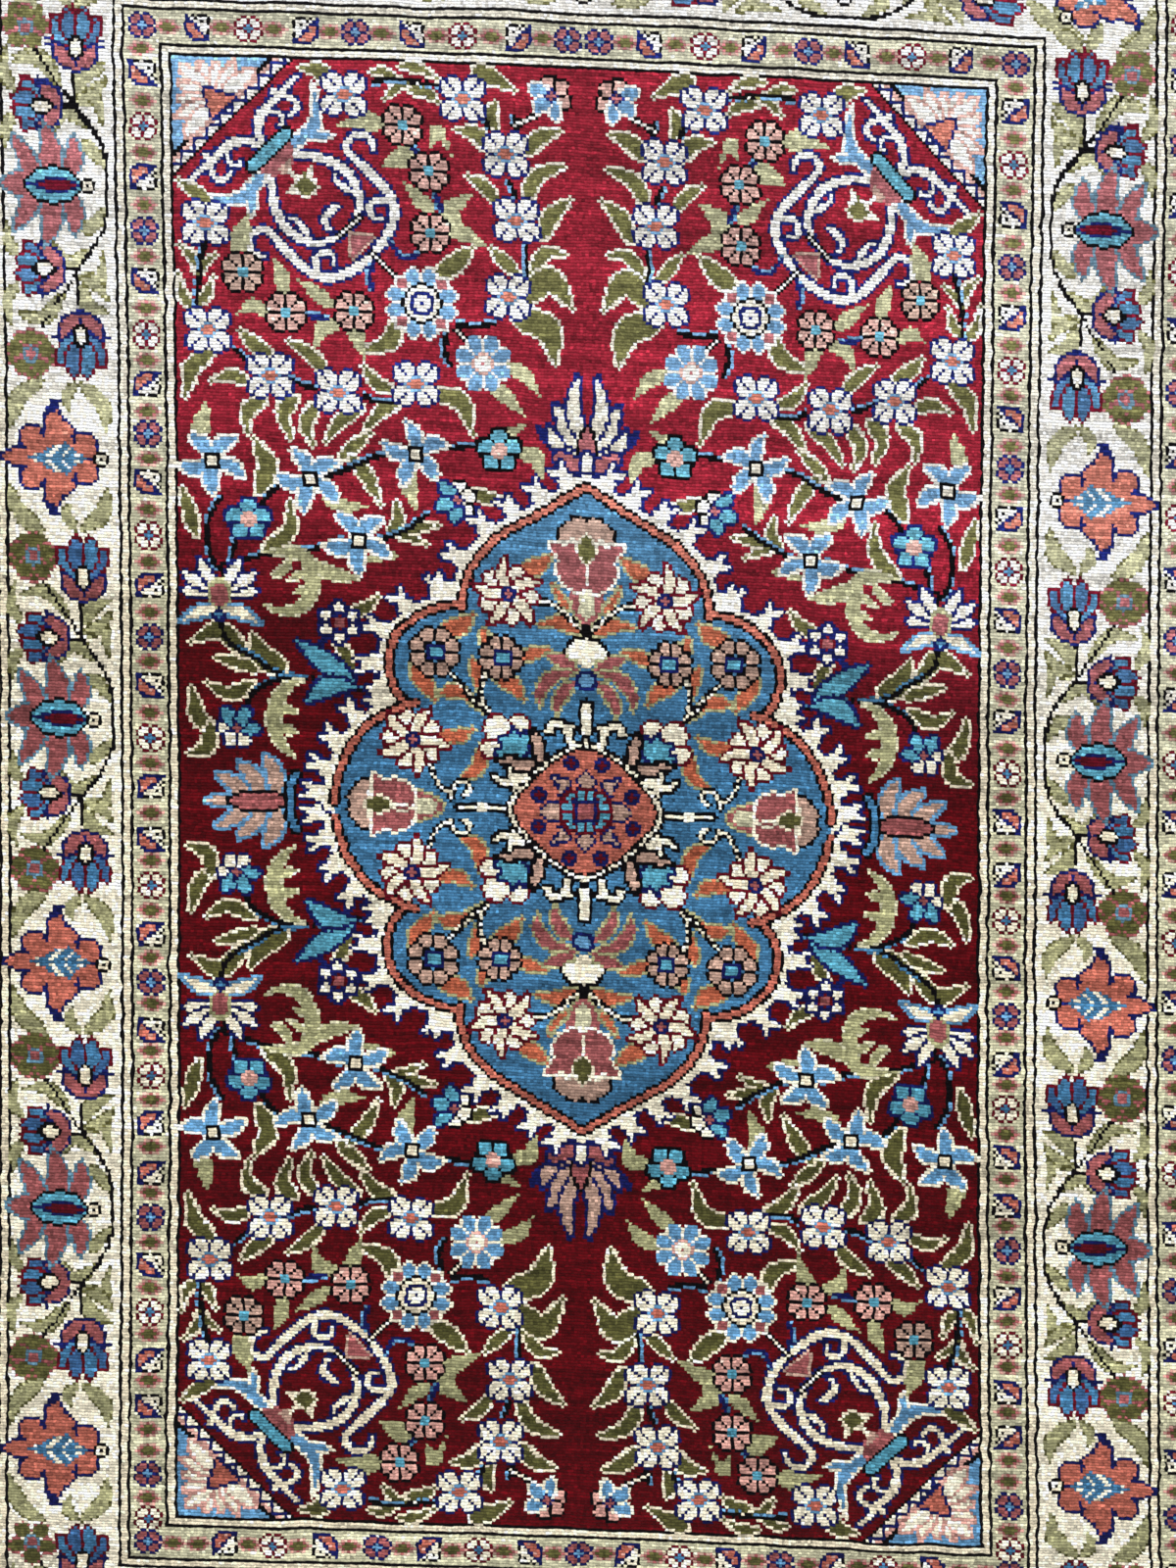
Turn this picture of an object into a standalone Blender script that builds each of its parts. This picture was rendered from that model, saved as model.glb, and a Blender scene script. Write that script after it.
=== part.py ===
"""A hand-knotted silk rug with a centre medallion, lying flat on its back.

Metres, +Z up. The rug's length runs along Y and its rows of knots along X. The origin is under the
middle of the rug, on the surface it lies on. It is one piece of cloth: the knotted pile, the overcast
cord down each side and the plain woven web at each end share the same warps.
"""

import math

import bmesh
import bpy

# The knots: the size of one, and how many each band has across the rug and along it.
KNOT = 0.002
FIELD_ACROSS = 255
FIELD_ALONG = 465
BORDER = 76

# The rows of the end borders are beaten down closer than those of the field.
END_ROWS_CLOSER = 0.92

# The finish of the edges, outside the last knot.
CORD_WIDE = 0.005
WEB_LONG = 0.006

# Heights above the surface.
PILE_HIGH = 0.005
CORD_HIGH = 0.0034
WEB_HIGH = 0.0016
FOOT_HIGH = 0.0008

# How far the real rug is from square, as the photograph shows it.
SKEW = 0.041
SKEW_GAIN = 0.0037
ROW_BOW = 0.0022
LOOSE_ROWS = 0.0086
NARROWEST = -0.0040
WIDENS = 0.0076
FLARES = 0.0153

# Low waves in the lie of the cloth: wavelength along the rug, height, and slant across it.
WAVES = (
    # wavelength, height, slant
    (0.260, 0.00035, 0.30),
    (0.147, 0.00025, -0.45),
    (0.091, 0.00015, 0.20),
)
WAVES_FADE = 0.060

# Profiles from the outside in: how far inside the pile's edge, and how high.
SIDE_PROFILE = (
    # inside, high
    (-CORD_WIDE, FOOT_HIGH),
    (-0.80 * CORD_WIDE, 0.75 * CORD_HIGH),
    (-0.50 * CORD_WIDE, CORD_HIGH),
    (-0.15 * CORD_WIDE, 0.70 * CORD_HIGH),
    (0.0, 0.80 * PILE_HIGH),
    (0.0015, 0.96 * PILE_HIGH),
    (0.0050, PILE_HIGH),
)
END_PROFILE = (
    # inside, high
    (-WEB_LONG, FOOT_HIGH),
    (-0.85 * WEB_LONG, WEB_HIGH),
    (-0.10 * WEB_LONG, WEB_HIGH),
    (0.0, 0.80 * PILE_HIGH),
    (0.0015, 0.96 * PILE_HIGH),
    (0.0050, PILE_HIGH),
)
SPANS_ACROSS = 14
SPANS_ALONG = 26

FIELD_HALF_WIDE = FIELD_ACROSS * KNOT / 2
FIELD_HALF_LONG = FIELD_ALONG * KNOT / 2
PILE_HALF_WIDE = FIELD_HALF_WIDE + BORDER * KNOT
PILE_HALF_LONG = FIELD_HALF_LONG + BORDER * KNOT * END_ROWS_CLOSER


def bounded(value):
    """A share of the field's half, held at the field's edge: the borders beyond keep their width."""
    return max(-1.0, min(1.0, value))


def as_it_lies(x, y):
    """Where a point of the squared-up rug lies on the real one."""
    across = bounded(x / FIELD_HALF_WIDE)
    along = y / FIELD_HALF_LONG
    held = bounded(along)
    wider = NARROWEST + WIDENS * held + FLARES * held * held
    skew = SKEW + SKEW_GAIN * along
    x_lies = x + wider * across * FIELD_HALF_WIDE
    y_lies = y + LOOSE_ROWS * along * along - skew * x + ROW_BOW * (1 - across * across)
    return x_lies, y_lies


def height_from(profile, inside):
    """The height of a profile at a distance inside the pile's edge."""
    before = profile[0]
    for after in profile[1:]:
        if inside <= after[0]:
            share = (inside - before[0]) / (after[0] - before[0])
            return before[1] + max(0.0, share) * (after[1] - before[1])
        before = after
    return before[1]


def wave_height(x, y, inside):
    """The lie of the cloth over its flat back: nothing at the edges, the low waves further in."""
    fade = max(0.0, min(1.0, inside / WAVES_FADE))
    total = 0.0
    for wavelength, high, slant in WAVES:
        total += high * math.sin(2 * math.pi * (y + slant * x) / wavelength)
    return fade * total


def stations(half, profile, spans):
    """The places of the grid's lines along one axis: both edges' profiles and even spans between."""
    edge = [half - inside for inside, _ in profile]
    inner = edge[-1]
    middle = [inner - 2 * inner * step / spans for step in range(1, spans)]
    return sorted(edge + middle + [-place for place in edge])


def rug_mesh():
    """The rug as one closed mesh: a grid over its outline, raised to its height above a flat back."""
    across = stations(PILE_HALF_WIDE, SIDE_PROFILE, SPANS_ACROSS)
    along = stations(PILE_HALF_LONG, END_PROFILE, SPANS_ALONG)
    shape = bmesh.new()
    bmesh.ops.create_grid(shape, x_segments=len(across) - 1, y_segments=len(along) - 1, size=0.5)
    columns = len(across) - 1
    rows = len(along) - 1
    for point in shape.verts:
        point.co.x = across[round((point.co.x + 0.5) * columns)]
        point.co.y = along[round((point.co.y + 0.5) * rows)]
    raised = bmesh.ops.extrude_face_region(shape, geom=shape.faces[:])
    tops = [item for item in raised["geom"] if isinstance(item, bmesh.types.BMVert)]
    for point in tops:
        x, y = point.co.x, point.co.y
        inside_side = PILE_HALF_WIDE - abs(x)
        inside_end = PILE_HALF_LONG - abs(y)
        high = min(height_from(SIDE_PROFILE, inside_side), height_from(END_PROFILE, inside_end))
        point.co.z = high + wave_height(x, y, min(inside_side, inside_end))
    for point in shape.verts:
        point.co.x, point.co.y = as_it_lies(point.co.x, point.co.y)
    back = [point for point in shape.verts if point.co.z == 0.0]
    bmesh.ops.dissolve_limit(
        shape,
        angle_limit=math.radians(0.1),
        verts=back,
        edges=[edge for edge in shape.edges if all(point.co.z == 0.0 for point in edge.verts)],
        use_dissolve_boundaries=False,
    )
    bmesh.ops.recalc_face_normals(shape, faces=shape.faces)
    centre_on_origin(shape)
    mesh = bpy.data.meshes.new("rug")
    shape.to_mesh(mesh)
    shape.free()
    return mesh


def centre_on_origin(shape):
    """Moves the mesh so that the middle of its outline is over the origin."""
    for axis in (0, 1):
        places = [point.co[axis] for point in shape.verts]
        middle = (min(places) + max(places)) / 2
        for point in shape.verts:
            point.co[axis] -= middle


def silk_pile():
    """Dyed silk pile, in the crimson of the rug's field."""
    material = bpy.data.materials.new("silk_pile")
    material.use_nodes = True
    shader = material.node_tree.nodes["Principled BSDF"]
    shader.inputs["Base Color"].default_value = (0.27, 0.02, 0.035, 1.0)
    shader.inputs["Roughness"].default_value = 0.55
    shader.inputs["Metallic"].default_value = 0.0
    return material


def main():
    for item in list(bpy.data.objects):
        bpy.data.objects.remove(item)
    collection = bpy.data.collections.new("silk_rug")
    bpy.context.scene.collection.children.link(collection)
    rug = bpy.data.objects.new("rug", rug_mesh())
    rug.data.materials.append(silk_pile())
    rug.data.shade_smooth()
    rug.data.set_sharp_from_angle(angle=math.radians(40))
    collection.objects.link(rug)


main()
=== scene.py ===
"""The looks of a hand-knotted silk rug with a centre medallion, lying flat.

The weaver's chart comes first: small functions tie each flower, leaf, scroll and band into a grid of
knots, one quarter at a time. The cloth is then made with one face to a knot, laid a little out of
square as the real rug lies, and finished with its overcast side cords and woven end webs.
Lengths are in metres; places on the chart are knots across and rows along from the middle knot.
"""

import math

import bmesh
import bpy
import numpy as np
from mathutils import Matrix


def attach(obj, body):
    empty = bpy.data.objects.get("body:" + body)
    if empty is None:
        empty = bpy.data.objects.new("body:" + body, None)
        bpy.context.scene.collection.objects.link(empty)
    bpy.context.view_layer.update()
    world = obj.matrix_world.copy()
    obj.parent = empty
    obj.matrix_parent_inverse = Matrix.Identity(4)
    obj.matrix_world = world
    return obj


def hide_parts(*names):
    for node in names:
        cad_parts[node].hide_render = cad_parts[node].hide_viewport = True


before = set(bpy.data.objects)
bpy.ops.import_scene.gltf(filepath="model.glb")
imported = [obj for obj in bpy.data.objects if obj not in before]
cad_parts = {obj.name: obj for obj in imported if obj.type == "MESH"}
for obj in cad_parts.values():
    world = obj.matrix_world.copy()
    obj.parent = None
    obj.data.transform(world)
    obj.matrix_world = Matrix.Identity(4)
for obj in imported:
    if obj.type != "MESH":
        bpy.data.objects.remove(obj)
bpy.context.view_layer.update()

# The knots of the chart: half the field each way, and the bands round it, from the field outward.
FIELD_U = 127
FIELD_V = 232
FRAME = 4
GUARD = 11
MAIN = 35
PLAIN = 3
BORDER = 4 * FRAME + 2 * GUARD + MAIN + PLAIN
HALF_U = FIELD_U + BORDER
HALF_V = FIELD_V + BORDER

# The dyed silks with painted sheen: the darker colour of the near end, and a lighter one further on, where
# the far end is painted lighter as its pile catches the light.
SILKS = {
    # name: near end, far end with painted sheen
    "crimson": ((80, 4, 11), (146, 34, 50)),
    "white": ((246, 236, 210), (250, 246, 238)),
    "cream": ((232, 219, 190), (238, 231, 214)),
    "black": ((4, 2, 5), (6, 4, 8)),
    "navy": ((14, 20, 74), (24, 34, 102)),
    "sky": ((92, 140, 178), (118, 162, 202)),
    "azure": ((60, 108, 144), (88, 138, 176)),
    "teal": ((80, 146, 168), (102, 166, 188)),
    "olive": ((80, 78, 42), (112, 110, 68)),
    "sage": ((154, 152, 112), (184, 182, 146)),
    "mist": ((196, 192, 160), (206, 203, 178)),
    "rose": ((142, 78, 78), (170, 102, 106)),
    "blush": ((202, 150, 138), (212, 168, 158)),
    "salmon": ((174, 96, 80), (198, 120, 104)),
    "apricot": ((172, 90, 64), (188, 110, 84)),
    "sand": ((172, 140, 124), (188, 158, 144)),
    "maroon": ((84, 8, 22), (112, 18, 40)),
    "denim": ((52, 88, 130), (78, 118, 160)),
    "slate": ((86, 122, 142), (108, 140, 160)),
}
# The rows between which the near colour gives way to the lighter far one, the painted sheen.
SHEEN_ROWS = (20, 135)
# How many rows nearer they meet for each column to the right, so the painted sheen starts sooner on the
# right.
SHEEN_SLANT = 0.2
NAMES = list(SILKS)
NUMBER = {name: place for place, name in enumerate(NAMES)}


class Chart:
    """The right half of the weaver's chart, seen from the middle row up or from the middle row down."""

    def __init__(self, knots, up):
        self.knots = knots
        self.up = up

    def window(self, low_u, high_u, low_v, high_v):
        """The part of the chart between two columns and two rows, with its knots' places."""
        columns = np.arange(max(0, math.floor(low_u)), min(HALF_U, math.ceil(high_u)) + 1)
        steps = np.arange(max(-HALF_V, math.floor(low_v)), min(HALF_V, math.ceil(high_v)) + 1)
        rows = HALF_V + self.up * steps
        u, v = np.meshgrid(columns, steps)
        return np.ix_(rows, columns), u.astype(float), v.astype(float)

    def dye(self, place, chosen, silk):
        """Ties the chosen knots of a window in a silk."""
        part = self.knots[place]
        part[chosen] = NUMBER[silk]
        self.knots[place] = part

    def gap(self, path, radius):
        """A window round a path, and how far each of its knots is outside the path's own width."""
        reach = float(np.max(radius)) + 2.5
        low, high = path.min(axis=0) - reach, path.max(axis=0) + reach
        place, u, v = self.window(low[0], high[0], low[1], high[1])
        away = np.hypot(u[..., None] - path[:, 0], v[..., None] - path[:, 1]) - radius
        return place, away.min(axis=2)


# How many places a smooth path has between two of its points, and how many knots a bent one goes at a step.
CURVE_STEPS = 9
BEND_STEP = 0.8


def curve(points):
    """A smooth path through a few points."""
    ends = [np.array(point, float) for point in points]
    if len(ends) == 2:
        share = np.linspace(0, 1, max(3, int(np.hypot(*(ends[1] - ends[0])) * 2)))[:, None]
        return ends[0] * (1 - share) + ends[1] * share
    ends = [2 * ends[0] - ends[1]] + ends + [2 * ends[-1] - ends[-2]]
    path = []
    for before, start, end, after in zip(ends, ends[1:], ends[2:], ends[3:]):
        for step in range(CURVE_STEPS):
            t = step / CURVE_STEPS
            path.append(
                start
                + 0.5 * t * (end - before)
                + t * t * (before - 2.5 * start + 2 * end - 0.5 * after)
                + t * t * t * (-0.5 * before + 1.5 * start - 1.5 * end + 0.5 * after)
            )
    path.append(ends[-2])
    return np.array(path)


def bent(start, heading, *runs):
    """A path that starts at a place with a heading in degrees: each run is a length and how far it turns."""
    places = [np.array(start, float)]
    for length, turn in runs:
        steps = max(2, round(length / BEND_STEP))
        for _ in range(steps):
            heading += turn / steps / 2
            places.append(np.array(spot(*places[-1], length / steps, heading)))
            heading += turn / steps / 2
    return np.array(places)


def spot(u, v, out, angle):
    """A place a distance out from another, at an angle in degrees."""
    return (u + out * math.cos(math.radians(angle)), v + out * math.sin(math.radians(angle)))


def line(chart, points, silk, wide, edge=None, rim=1.0, taper=1.0):
    """A drawn line of even width, narrowing towards its end if it tapers."""
    path = points if isinstance(points, np.ndarray) else curve(points)
    joined(chart, [(path, np.linspace(1.0, taper, len(path)) * wide / 2)], silk, edge, rim)


def joined(chart, shapes, silk, edge=None, rim=1.0):
    """Shapes that flow into each other, paths with their half widths: all edges go in before the fillings."""
    done = [chart.gap(path, radius) for path, radius in shapes]
    if edge:
        for place, gap in done:
            chart.dye(place, gap < rim, edge)
    for place, gap in done:
        chart.dye(place, gap < 0, silk)


def scroll(path, wide):
    """A scroll's half widths: full along its run, narrowing to its curl."""
    share = np.linspace(0, 1, len(path))
    return path, wide / 2 * np.interp(share, (0, 0.15, 0.6, 1), (0.85, 1.0, 1.0, 0.55))


def blade(path, wide, belly):
    """The half widths of a leaf along its path: narrow at the base, full, then a fine tip."""
    share = np.linspace(0, 1, len(path))
    return wide * np.sin(math.pi * np.clip(share, 0.03, 0.985) ** belly) ** 0.85


def leaf(chart, points, wide, silk="olive", edge="cream", rim=1.0, belly=0.75):
    """A leaf or a pointed petal from its base to its tip."""
    joined(chart, [petal(points, wide, belly)], silk, edge, rim)


def petal(points, wide, belly=0.9):
    """A petal's path with its half widths, for shapes that are joined."""
    path = curve(points)
    return path, blade(path, wide, belly)


def bent_petal(start, heading, runs, wide, belly):
    """The same for a petal that bends from run to run."""
    path = bent(start, heading, *runs)
    return path, blade(path, wide, belly)


def lobe(u, v, across):
    """A round lobe, for shapes that are joined."""
    return np.array([(u, v)], float), across / 2


def disc(chart, u, v, across, silk, along=None):
    """A filled round, or an oval where it is longer one way."""
    along = along or across
    place, at_u, at_v = chart.window(u - across, u + across, v - along, v + along)
    inside = ((at_u - u) / (across / 2)) ** 2 + ((at_v - v) / (along / 2)) ** 2 <= 1.0
    chart.dye(place, inside, silk)


def box(chart, low_u, high_u, low_v, high_v, silk):
    """A filled oblong, both of its last rows and columns in it."""
    place, at_u, _ = chart.window(low_u, high_u, low_v, high_v)
    chart.dye(place, at_u > -1, silk)


def patch(chart, corners, silk, edge, rim=1.0):
    """A filled outline with straight sides."""
    ring = np.array(corners, float)
    low, high = ring.min(axis=0) - 2, ring.max(axis=0) + 2
    place, u, v = chart.window(low[0], high[0], low[1], high[1])
    inside = within(ring, u, v)
    if edge:
        sides = np.concatenate([curve([a, b]) for a, b in zip(ring, np.roll(ring, -1, axis=0))])
        near = np.hypot(u[..., None] - sides[:, 0], v[..., None] - sides[:, 1]).min(axis=2) < rim
        chart.dye(place, inside | near, edge)
    chart.dye(place, inside, silk)


def within(ring, u, v):
    """Which knots are inside a closed outline."""
    inside = np.zeros(u.shape, bool)
    for (u0, v0), (u1, v1) in zip(ring, np.roll(ring, -1, axis=0)):
        if v0 == v1:
            continue
        crosses = (v0 > v) != (v1 > v)
        inside ^= crosses & (u < (u1 - u0) * (v - v0) / (v1 - v0) + u0)
    return inside


# The letters of the motifs that are charted knot by knot.
KEY = {
    "W": "white", "C": "cream", "K": "black", "N": "navy", "L": "sky", "B": "azure", "T": "teal",
    "O": "olive", "R": "rose", "P": "blush", "A": "salmon", "D": "sand", "M": "maroon",
}


def quarter(rows):
    """A whole motif from its top right quarter, whose first column and last row are its middle."""
    right = np.array([list(row) for row in rows])
    top = np.concatenate([right[:, :0:-1], right], axis=1)
    return np.concatenate([top, top[-2::-1]], axis=0)


def worked(chart, u, v, motif, swap=None):
    """Ties a charted motif with its middle at a place. Swap changes silks, letter for letter."""
    tall, wide = motif.shape
    for row in range(tall):
        step = round(v) + tall // 2 - row
        place = HALF_V + chart.up * step
        if not 0 <= place <= 2 * HALF_V:
            continue
        for column in range(wide):
            letter = motif[row, column]
            at = round(u) + column - wide // 2
            if letter != "." and 0 <= at <= HALF_U:
                letter = (swap or {}).get(letter, letter)
                chart.knots[place, at] = NUMBER[KEY[letter]]


DAISY = quarter([
    "..NNN...",
    ".NWWWNN.",
    "NWWWWNWN",
    "NWWWNWWN",
    "NWWNWWWN",
    "LLWWWWWN",
    "AALWWWN.",
    "AAALNN..",
])
ASTER = quarter([
    ".KKK...",
    "KPPPK..",
    "KPPPKK.",
    "KPPKPPK",
    "KPKPPPK",
    "TTPPPPK",
    "TTKKKK.",
])
PINK = quarter([
    ".NN..",
    "NRRN.",
    "NRRRN",
    "LNRRN",
    "LLNN.",
])
BLOT = quarter([
    "RDP..",
    "OORD.",
    "OOORP",
])
TOOTHED = np.array([list(row) for row in [
    ".KKKWKKNN",
    "KWWWWWWNN",
    "KWKWWWNAN",
    "KWWWNNAPN",
    ".KWNNAAAN",
    "KWNAPAAAN",
    ".NNAAANN.",
    "NNNNNNN..",
]])


def daisy(chart, u, v):
    """The white eight-petalled flower in its dark outline."""
    worked(chart, u, v, DAISY)


def aster(chart, u, v, silk):
    """The smaller flower with a black outline and a blue-green heart."""
    worked(chart, u, v, ASTER, {"P": silk})


def swirl(chart, u, v, rays, wide, silk, edge, start, belly):
    """Pointed petals that bend: each ray is an angle, how far it bends by its tip, and a reach."""
    shapes = []
    for angle, bend, reach in rays:
        middle = spot(u, v, 0.55 * reach, angle)
        shapes.append(petal([spot(u, v, start, angle), middle, spot(u, v, reach, angle + bend)], wide, belly))
    joined(chart, shapes, silk, edge)


def star(chart, u, v, turn):
    """The five-pointed light blue flower with a white edge and a square heart."""
    bends = (-8, 16, -14, 18, 10)
    rays = [(turn + 72 * step - bend / 2, bend, 10.4) for step, bend in enumerate(bends)]
    swirl(chart, u, v, rays, 2.0, "sky", "white", 1.0, 0.95)
    box(chart, u - 2, u + 2, v - 2, v + 2, "black")
    box(chart, u - 1, u + 1, v - 1, v + 1, "cream")


def small_flower(chart, u, v, silk, edge, heart, count=5, reach=4.3, wide=4.8):
    """A small flower of round petals, the first of them pointing along the rug."""
    turns = [90 + 360 * step / count for step in range(count)]
    joined(chart, [lobe(*spot(u, v, reach, turn), wide) for turn in turns], silk, edge)
    for step in range(count):
        between = 90 + 360 * (step + 0.5) / count
        line(chart, [spot(u, v, 2.5, between), spot(u, v, 6, between)], edge, 0.8)
    disc(chart, u, v, wide, heart)


# The pointed leaves of one quarter of the field.
OLIVE_LEAVES = (
    # base, bend, tip, half width
    ((80, 224), (82, 229), (88, 230), 2.15),
    ((66, 229), (62, 229), (56, 226), 1.15),
    ((57, 231), (52, 231), (46, 228), 1.35),
    ((62, 221), (58, 225), (52, 226), 1.15),
    ((54, 224), (50, 224), (46, 221), 1.75),
    ((34, 231), (29, 229), (22, 225), 2.35),
    ((28, 221), (29, 217), (28, 212), 1.55),
    ((30, 206), (34, 211), (40, 212), 2.15),
    ((18, 206), (14, 211), (8, 213), 2.15),
    ((19, 191), (15, 199), (7, 202), 2.15),
    ((28, 190), (32, 195), (37, 198), 1.75),
    ((14, 180), (11, 187), (5, 192), 2.35),
    ((47, 167), (41, 171), (36, 176), 2.75),
    ((22, 168), (26, 172), (30, 176), 1.75),
    ((18, 168), (13, 175), (7, 175), 1.75),
    ((20, 160), (12, 167), (5, 158), 3.55),
    ((22, 154), (13, 152), (10, 141), 3.95),
    ((117, 188), (121, 190), (126, 194), 1.95),
    ((122, 166), (122, 170), (126, 174), 1.35),
    ((121, 165), (119, 168), (115, 171), 1.15),
    ((122, 155), (125, 158), (127, 165), 1.35),
    ((121, 156), (118, 159), (116, 164), 1.35),
    ((99, 141), (104, 144), (108, 148), 1.95),
    ((117, 141), (123, 136), (125, 127), 2.35),
    ((106, 132), (111, 134), (117, 132), 1.75),
    ((82, 136), (87, 141), (93, 145), 1.95),
    ((101, 126), (106, 123), (106, 116), 1.95),
    ((91, 127), (95, 123), (93, 115), 2.15),
    ((84, 126), (88, 120), (86, 113), 1.95),
    ((71, 125), (77, 121), (82, 114), 1.95),
    ((59, 127), (65, 124), (70, 117), 1.95),
    ((61, 131), (66, 133), (70, 138), 1.75),
    ((48, 130), (40, 128), (36, 118), 2.55),
    ((59, 153), (62, 146), (70, 143), 2.35),
    ((103, 98), (100, 106), (104, 114), 2.75),
    ((77, 109), (73, 113), (68, 117), 1.75),
    ((74, 109), (69, 103), (65, 95), 1.95),
    ((122, 84), (124, 91), (126, 98), 1.95),
    ((101, 80), (94, 85), (93, 95), 2.15),
    ((62, 87), (59, 91), (60, 96), 1.35),
    ((60, 86), (54, 88), (47, 89), 1.35),
    ((60, 86), (56, 85), (51, 83), 0.95),
    ((36, 100), (31, 98), (25, 98), 1.75),
    ((107, 46), (115, 54), (124, 50), 2.55),
    ((99, 43), (107, 43), (116, 45), 1.95),
    ((95, 42), (102, 46), (105, 53), 3.35),
    ((105, 37), (112, 34), (119, 37), 1.95),
    ((118, 22), (122, 27), (124, 35), 2.15),
    ((118, 24), (119, 17), (125, 15), 2.15),
    ((75, 60), (70, 62), (66, 66), 1.55),
    ((79, 51), (76, 47), (74, 41), 1.55),
)
SAGE_LEAVES = (
    # base, bend, tip, half width
    ((63, 213), (69, 214), (77, 212), 3.1),
    ((48, 207), (46, 212), (42, 204), 1.9),
    ((53, 202), (57, 203), (63, 200), 3.3),
    ((48, 187), (52, 190), (57, 195), 2.3),
    ((42, 182), (42, 188), (36, 192), 3.1),
    ((43, 181), (38, 180), (32, 177), 2.7),
    ((109, 172), (107, 178), (105, 184), 3.1),
    ((94, 160), (95, 165), (97, 170), 2.5),
    ((80, 156), (84, 160), (90, 164), 2.3),
    ((100, 153), (104, 156), (109, 153), 2.1),
    ((76, 151), (83, 149), (85, 143), 2.5),
    ((74, 151), (72, 147), (70, 140), 2.5),
    ((26, 139), (20, 137), (15, 131), 2.5),
    ((31, 134), (26, 130), (20, 124), 2.5),
    ((29, 118), (24, 119), (20, 121), 1.9),
    ((23, 112), (16, 111), (15, 101), 2.7),
    ((121, 113), (120, 119), (119, 125), 2.9),
    ((56, 107), (56, 101), (54, 94), 2.9),
    ((83, 97), (77, 94), (69, 94), 2.5),
    ((60, 79), (65, 79), (70, 77), 2.1),
)
WHITE_FLOWERS = (
    # middle
    (75, 222), (38, 222), (25, 205), (22, 185), (25, 161), (118, 181), (118, 148), (99, 134), (78, 130),
    (54, 133),
)
DARK_FLOWERS = (
    # middle, silk
    (57, 213, "P"), (49, 199, "P"), (49, 180, "P"), (107, 166, "D"), (94, 154, "P"), (73, 155, "P"),
)
STARS = (
    # middle, the angle of one point
    (117, 107, -88), (87, 102, -75), (54, 111, -63), (72, 83, -88),
)
# The field's stems, each of two silks side by side.
STEMS = (
    # route, upper silk, lower silk
    (((66, 226), (60, 227), (46, 226)), "black", "sky"),
    (((25, 197), (24, 195), (23, 192)), "sky", "black"),
    (((20, 178), (20, 168)), "sky", "black"),
    (((32, 216), (31, 213)), "sky", "black"),
    (((23, 217), (22, 213)), "sky", "black"),
    (((55, 208), (51, 205)), "azure", "navy"),
    (((48, 192), (46, 187)), "azure", "navy"),
    (((53, 174), (58, 173), (62, 178)), "sky", "navy"),
    (((68, 170), (69, 166), (68, 162)), "sky", "navy"),
    (((88, 154), (81, 153)), "sky", "navy"),
    (((41, 153), (36, 152), (29, 153)), "sky", "black"),
    (((45, 149), (46, 144), (44, 139)), "sky", "black"),
    (((119, 175), (121, 168), (122, 156)), "sky", "black"),
    (((110, 143), (106, 140)), "sky", "black"),
    (((93, 134), (89, 132), (85, 131)), "sky", "black"),
    (((70, 130), (67, 128), (60, 128)), "sky", "black"),
    (((49, 114), (43, 114), (33, 116)), "sky", "black"),
    (((60, 112), (68, 110), (74, 107), (82, 104)), "sky", "black"),
    (((92, 103), (99, 99), (103, 93)), "sky", "black"),
    (((115, 96), (119, 89), (119, 79), (116, 73)), "sky", "black"),
    (((110, 86), (112, 78), (112, 72)), "sky", "black"),
    (((50, 93), (58, 88), (67, 84)), "sky", "black"),
    (((77, 84), (86, 81), (96, 80), (108, 77), (112, 73)), "sky", "black"),
    (((115, 58), (112, 51), (104, 46), (95, 41), (78, 40)), "azure", "black"),
    (((107, 31), (105, 35), (98, 39), (88, 40)), "azure", "black"),
    (((82, 53), (86, 49)), "sky", "navy"),
    (((83, 37), (66, 37)), "azure", "black"),
)
DASHES = (
    # from, to
    ((15, 218), (22, 214)),
    ((41, 150), (37, 146)),
    ((67, 173), (60, 166)),
    ((71, 184), (77, 178)),
)


# A dark silk lies over the light one beside it in a stem, and is a little broader.
DARK = ("black", "navy")


def stem(chart, route, upper, lower):
    """A stem of two silks lying side by side."""
    path = curve(route)
    run = path[-1] - path[0]
    aside = np.array([0.0, -1.0]) if abs(run[0]) > abs(run[1]) else np.array([-1.0, 0.0])
    for shift, silk in sorted(((aside, lower), (0 * aside, upper)), key=lambda part: part[1] in DARK):
        joined(chart, [(path + shift, 0.8 if silk in DARK else 0.6)], silk)


def dashed(chart, points):
    """A black line with light knots along its middle."""
    line(chart, points, "black", 2.2)
    for at_u, at_v in curve(points)[::2]:
        box(chart, round(at_u), round(at_u), round(at_v), round(at_v), "white")


def rosette(chart, u, v):
    """The large ringed flower of blue and rose petals."""
    lobes = [(angle, 8.2, 4.6, "sky") for base in (0, 90, 180, 270) for angle in (base - 18, base + 18)]
    lobes += [(angle, 8.6, 3.8, "rose") for angle in (45, 135, 225, 315)]
    for angle, out, across, _ in lobes:
        disc(chart, *spot(u, v, out, angle), across + 1.9, "white")
    for angle, out, across, silk in lobes:
        disc(chart, *spot(u, v, out, angle), across, silk)
    for across, silk in ((12.6, "black"), (10.6, "cream"), (7.4, "navy"), (5.2, "white"), (1.4, "navy")):
        disc(chart, u, v, across, silk)


def blue_flower(chart, u, v):
    """The blue eight-petalled flower with a white edge."""
    turns = [22.5 + 45 * step for step in range(8)]
    for turn in turns:
        disc(chart, *spot(u, v, 6.2, turn), 6.2, "white")
    for turn in turns:
        leaf(chart, [spot(u, v, 2.5, turn), spot(u, v, 8.8, turn)], 2.1, "sky", None, belly=1.25)
    for across, silk in ((7.0, "blush"), (4.6, "white"), (1.6, "rose")):
        disc(chart, u, v, across, silk)


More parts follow.
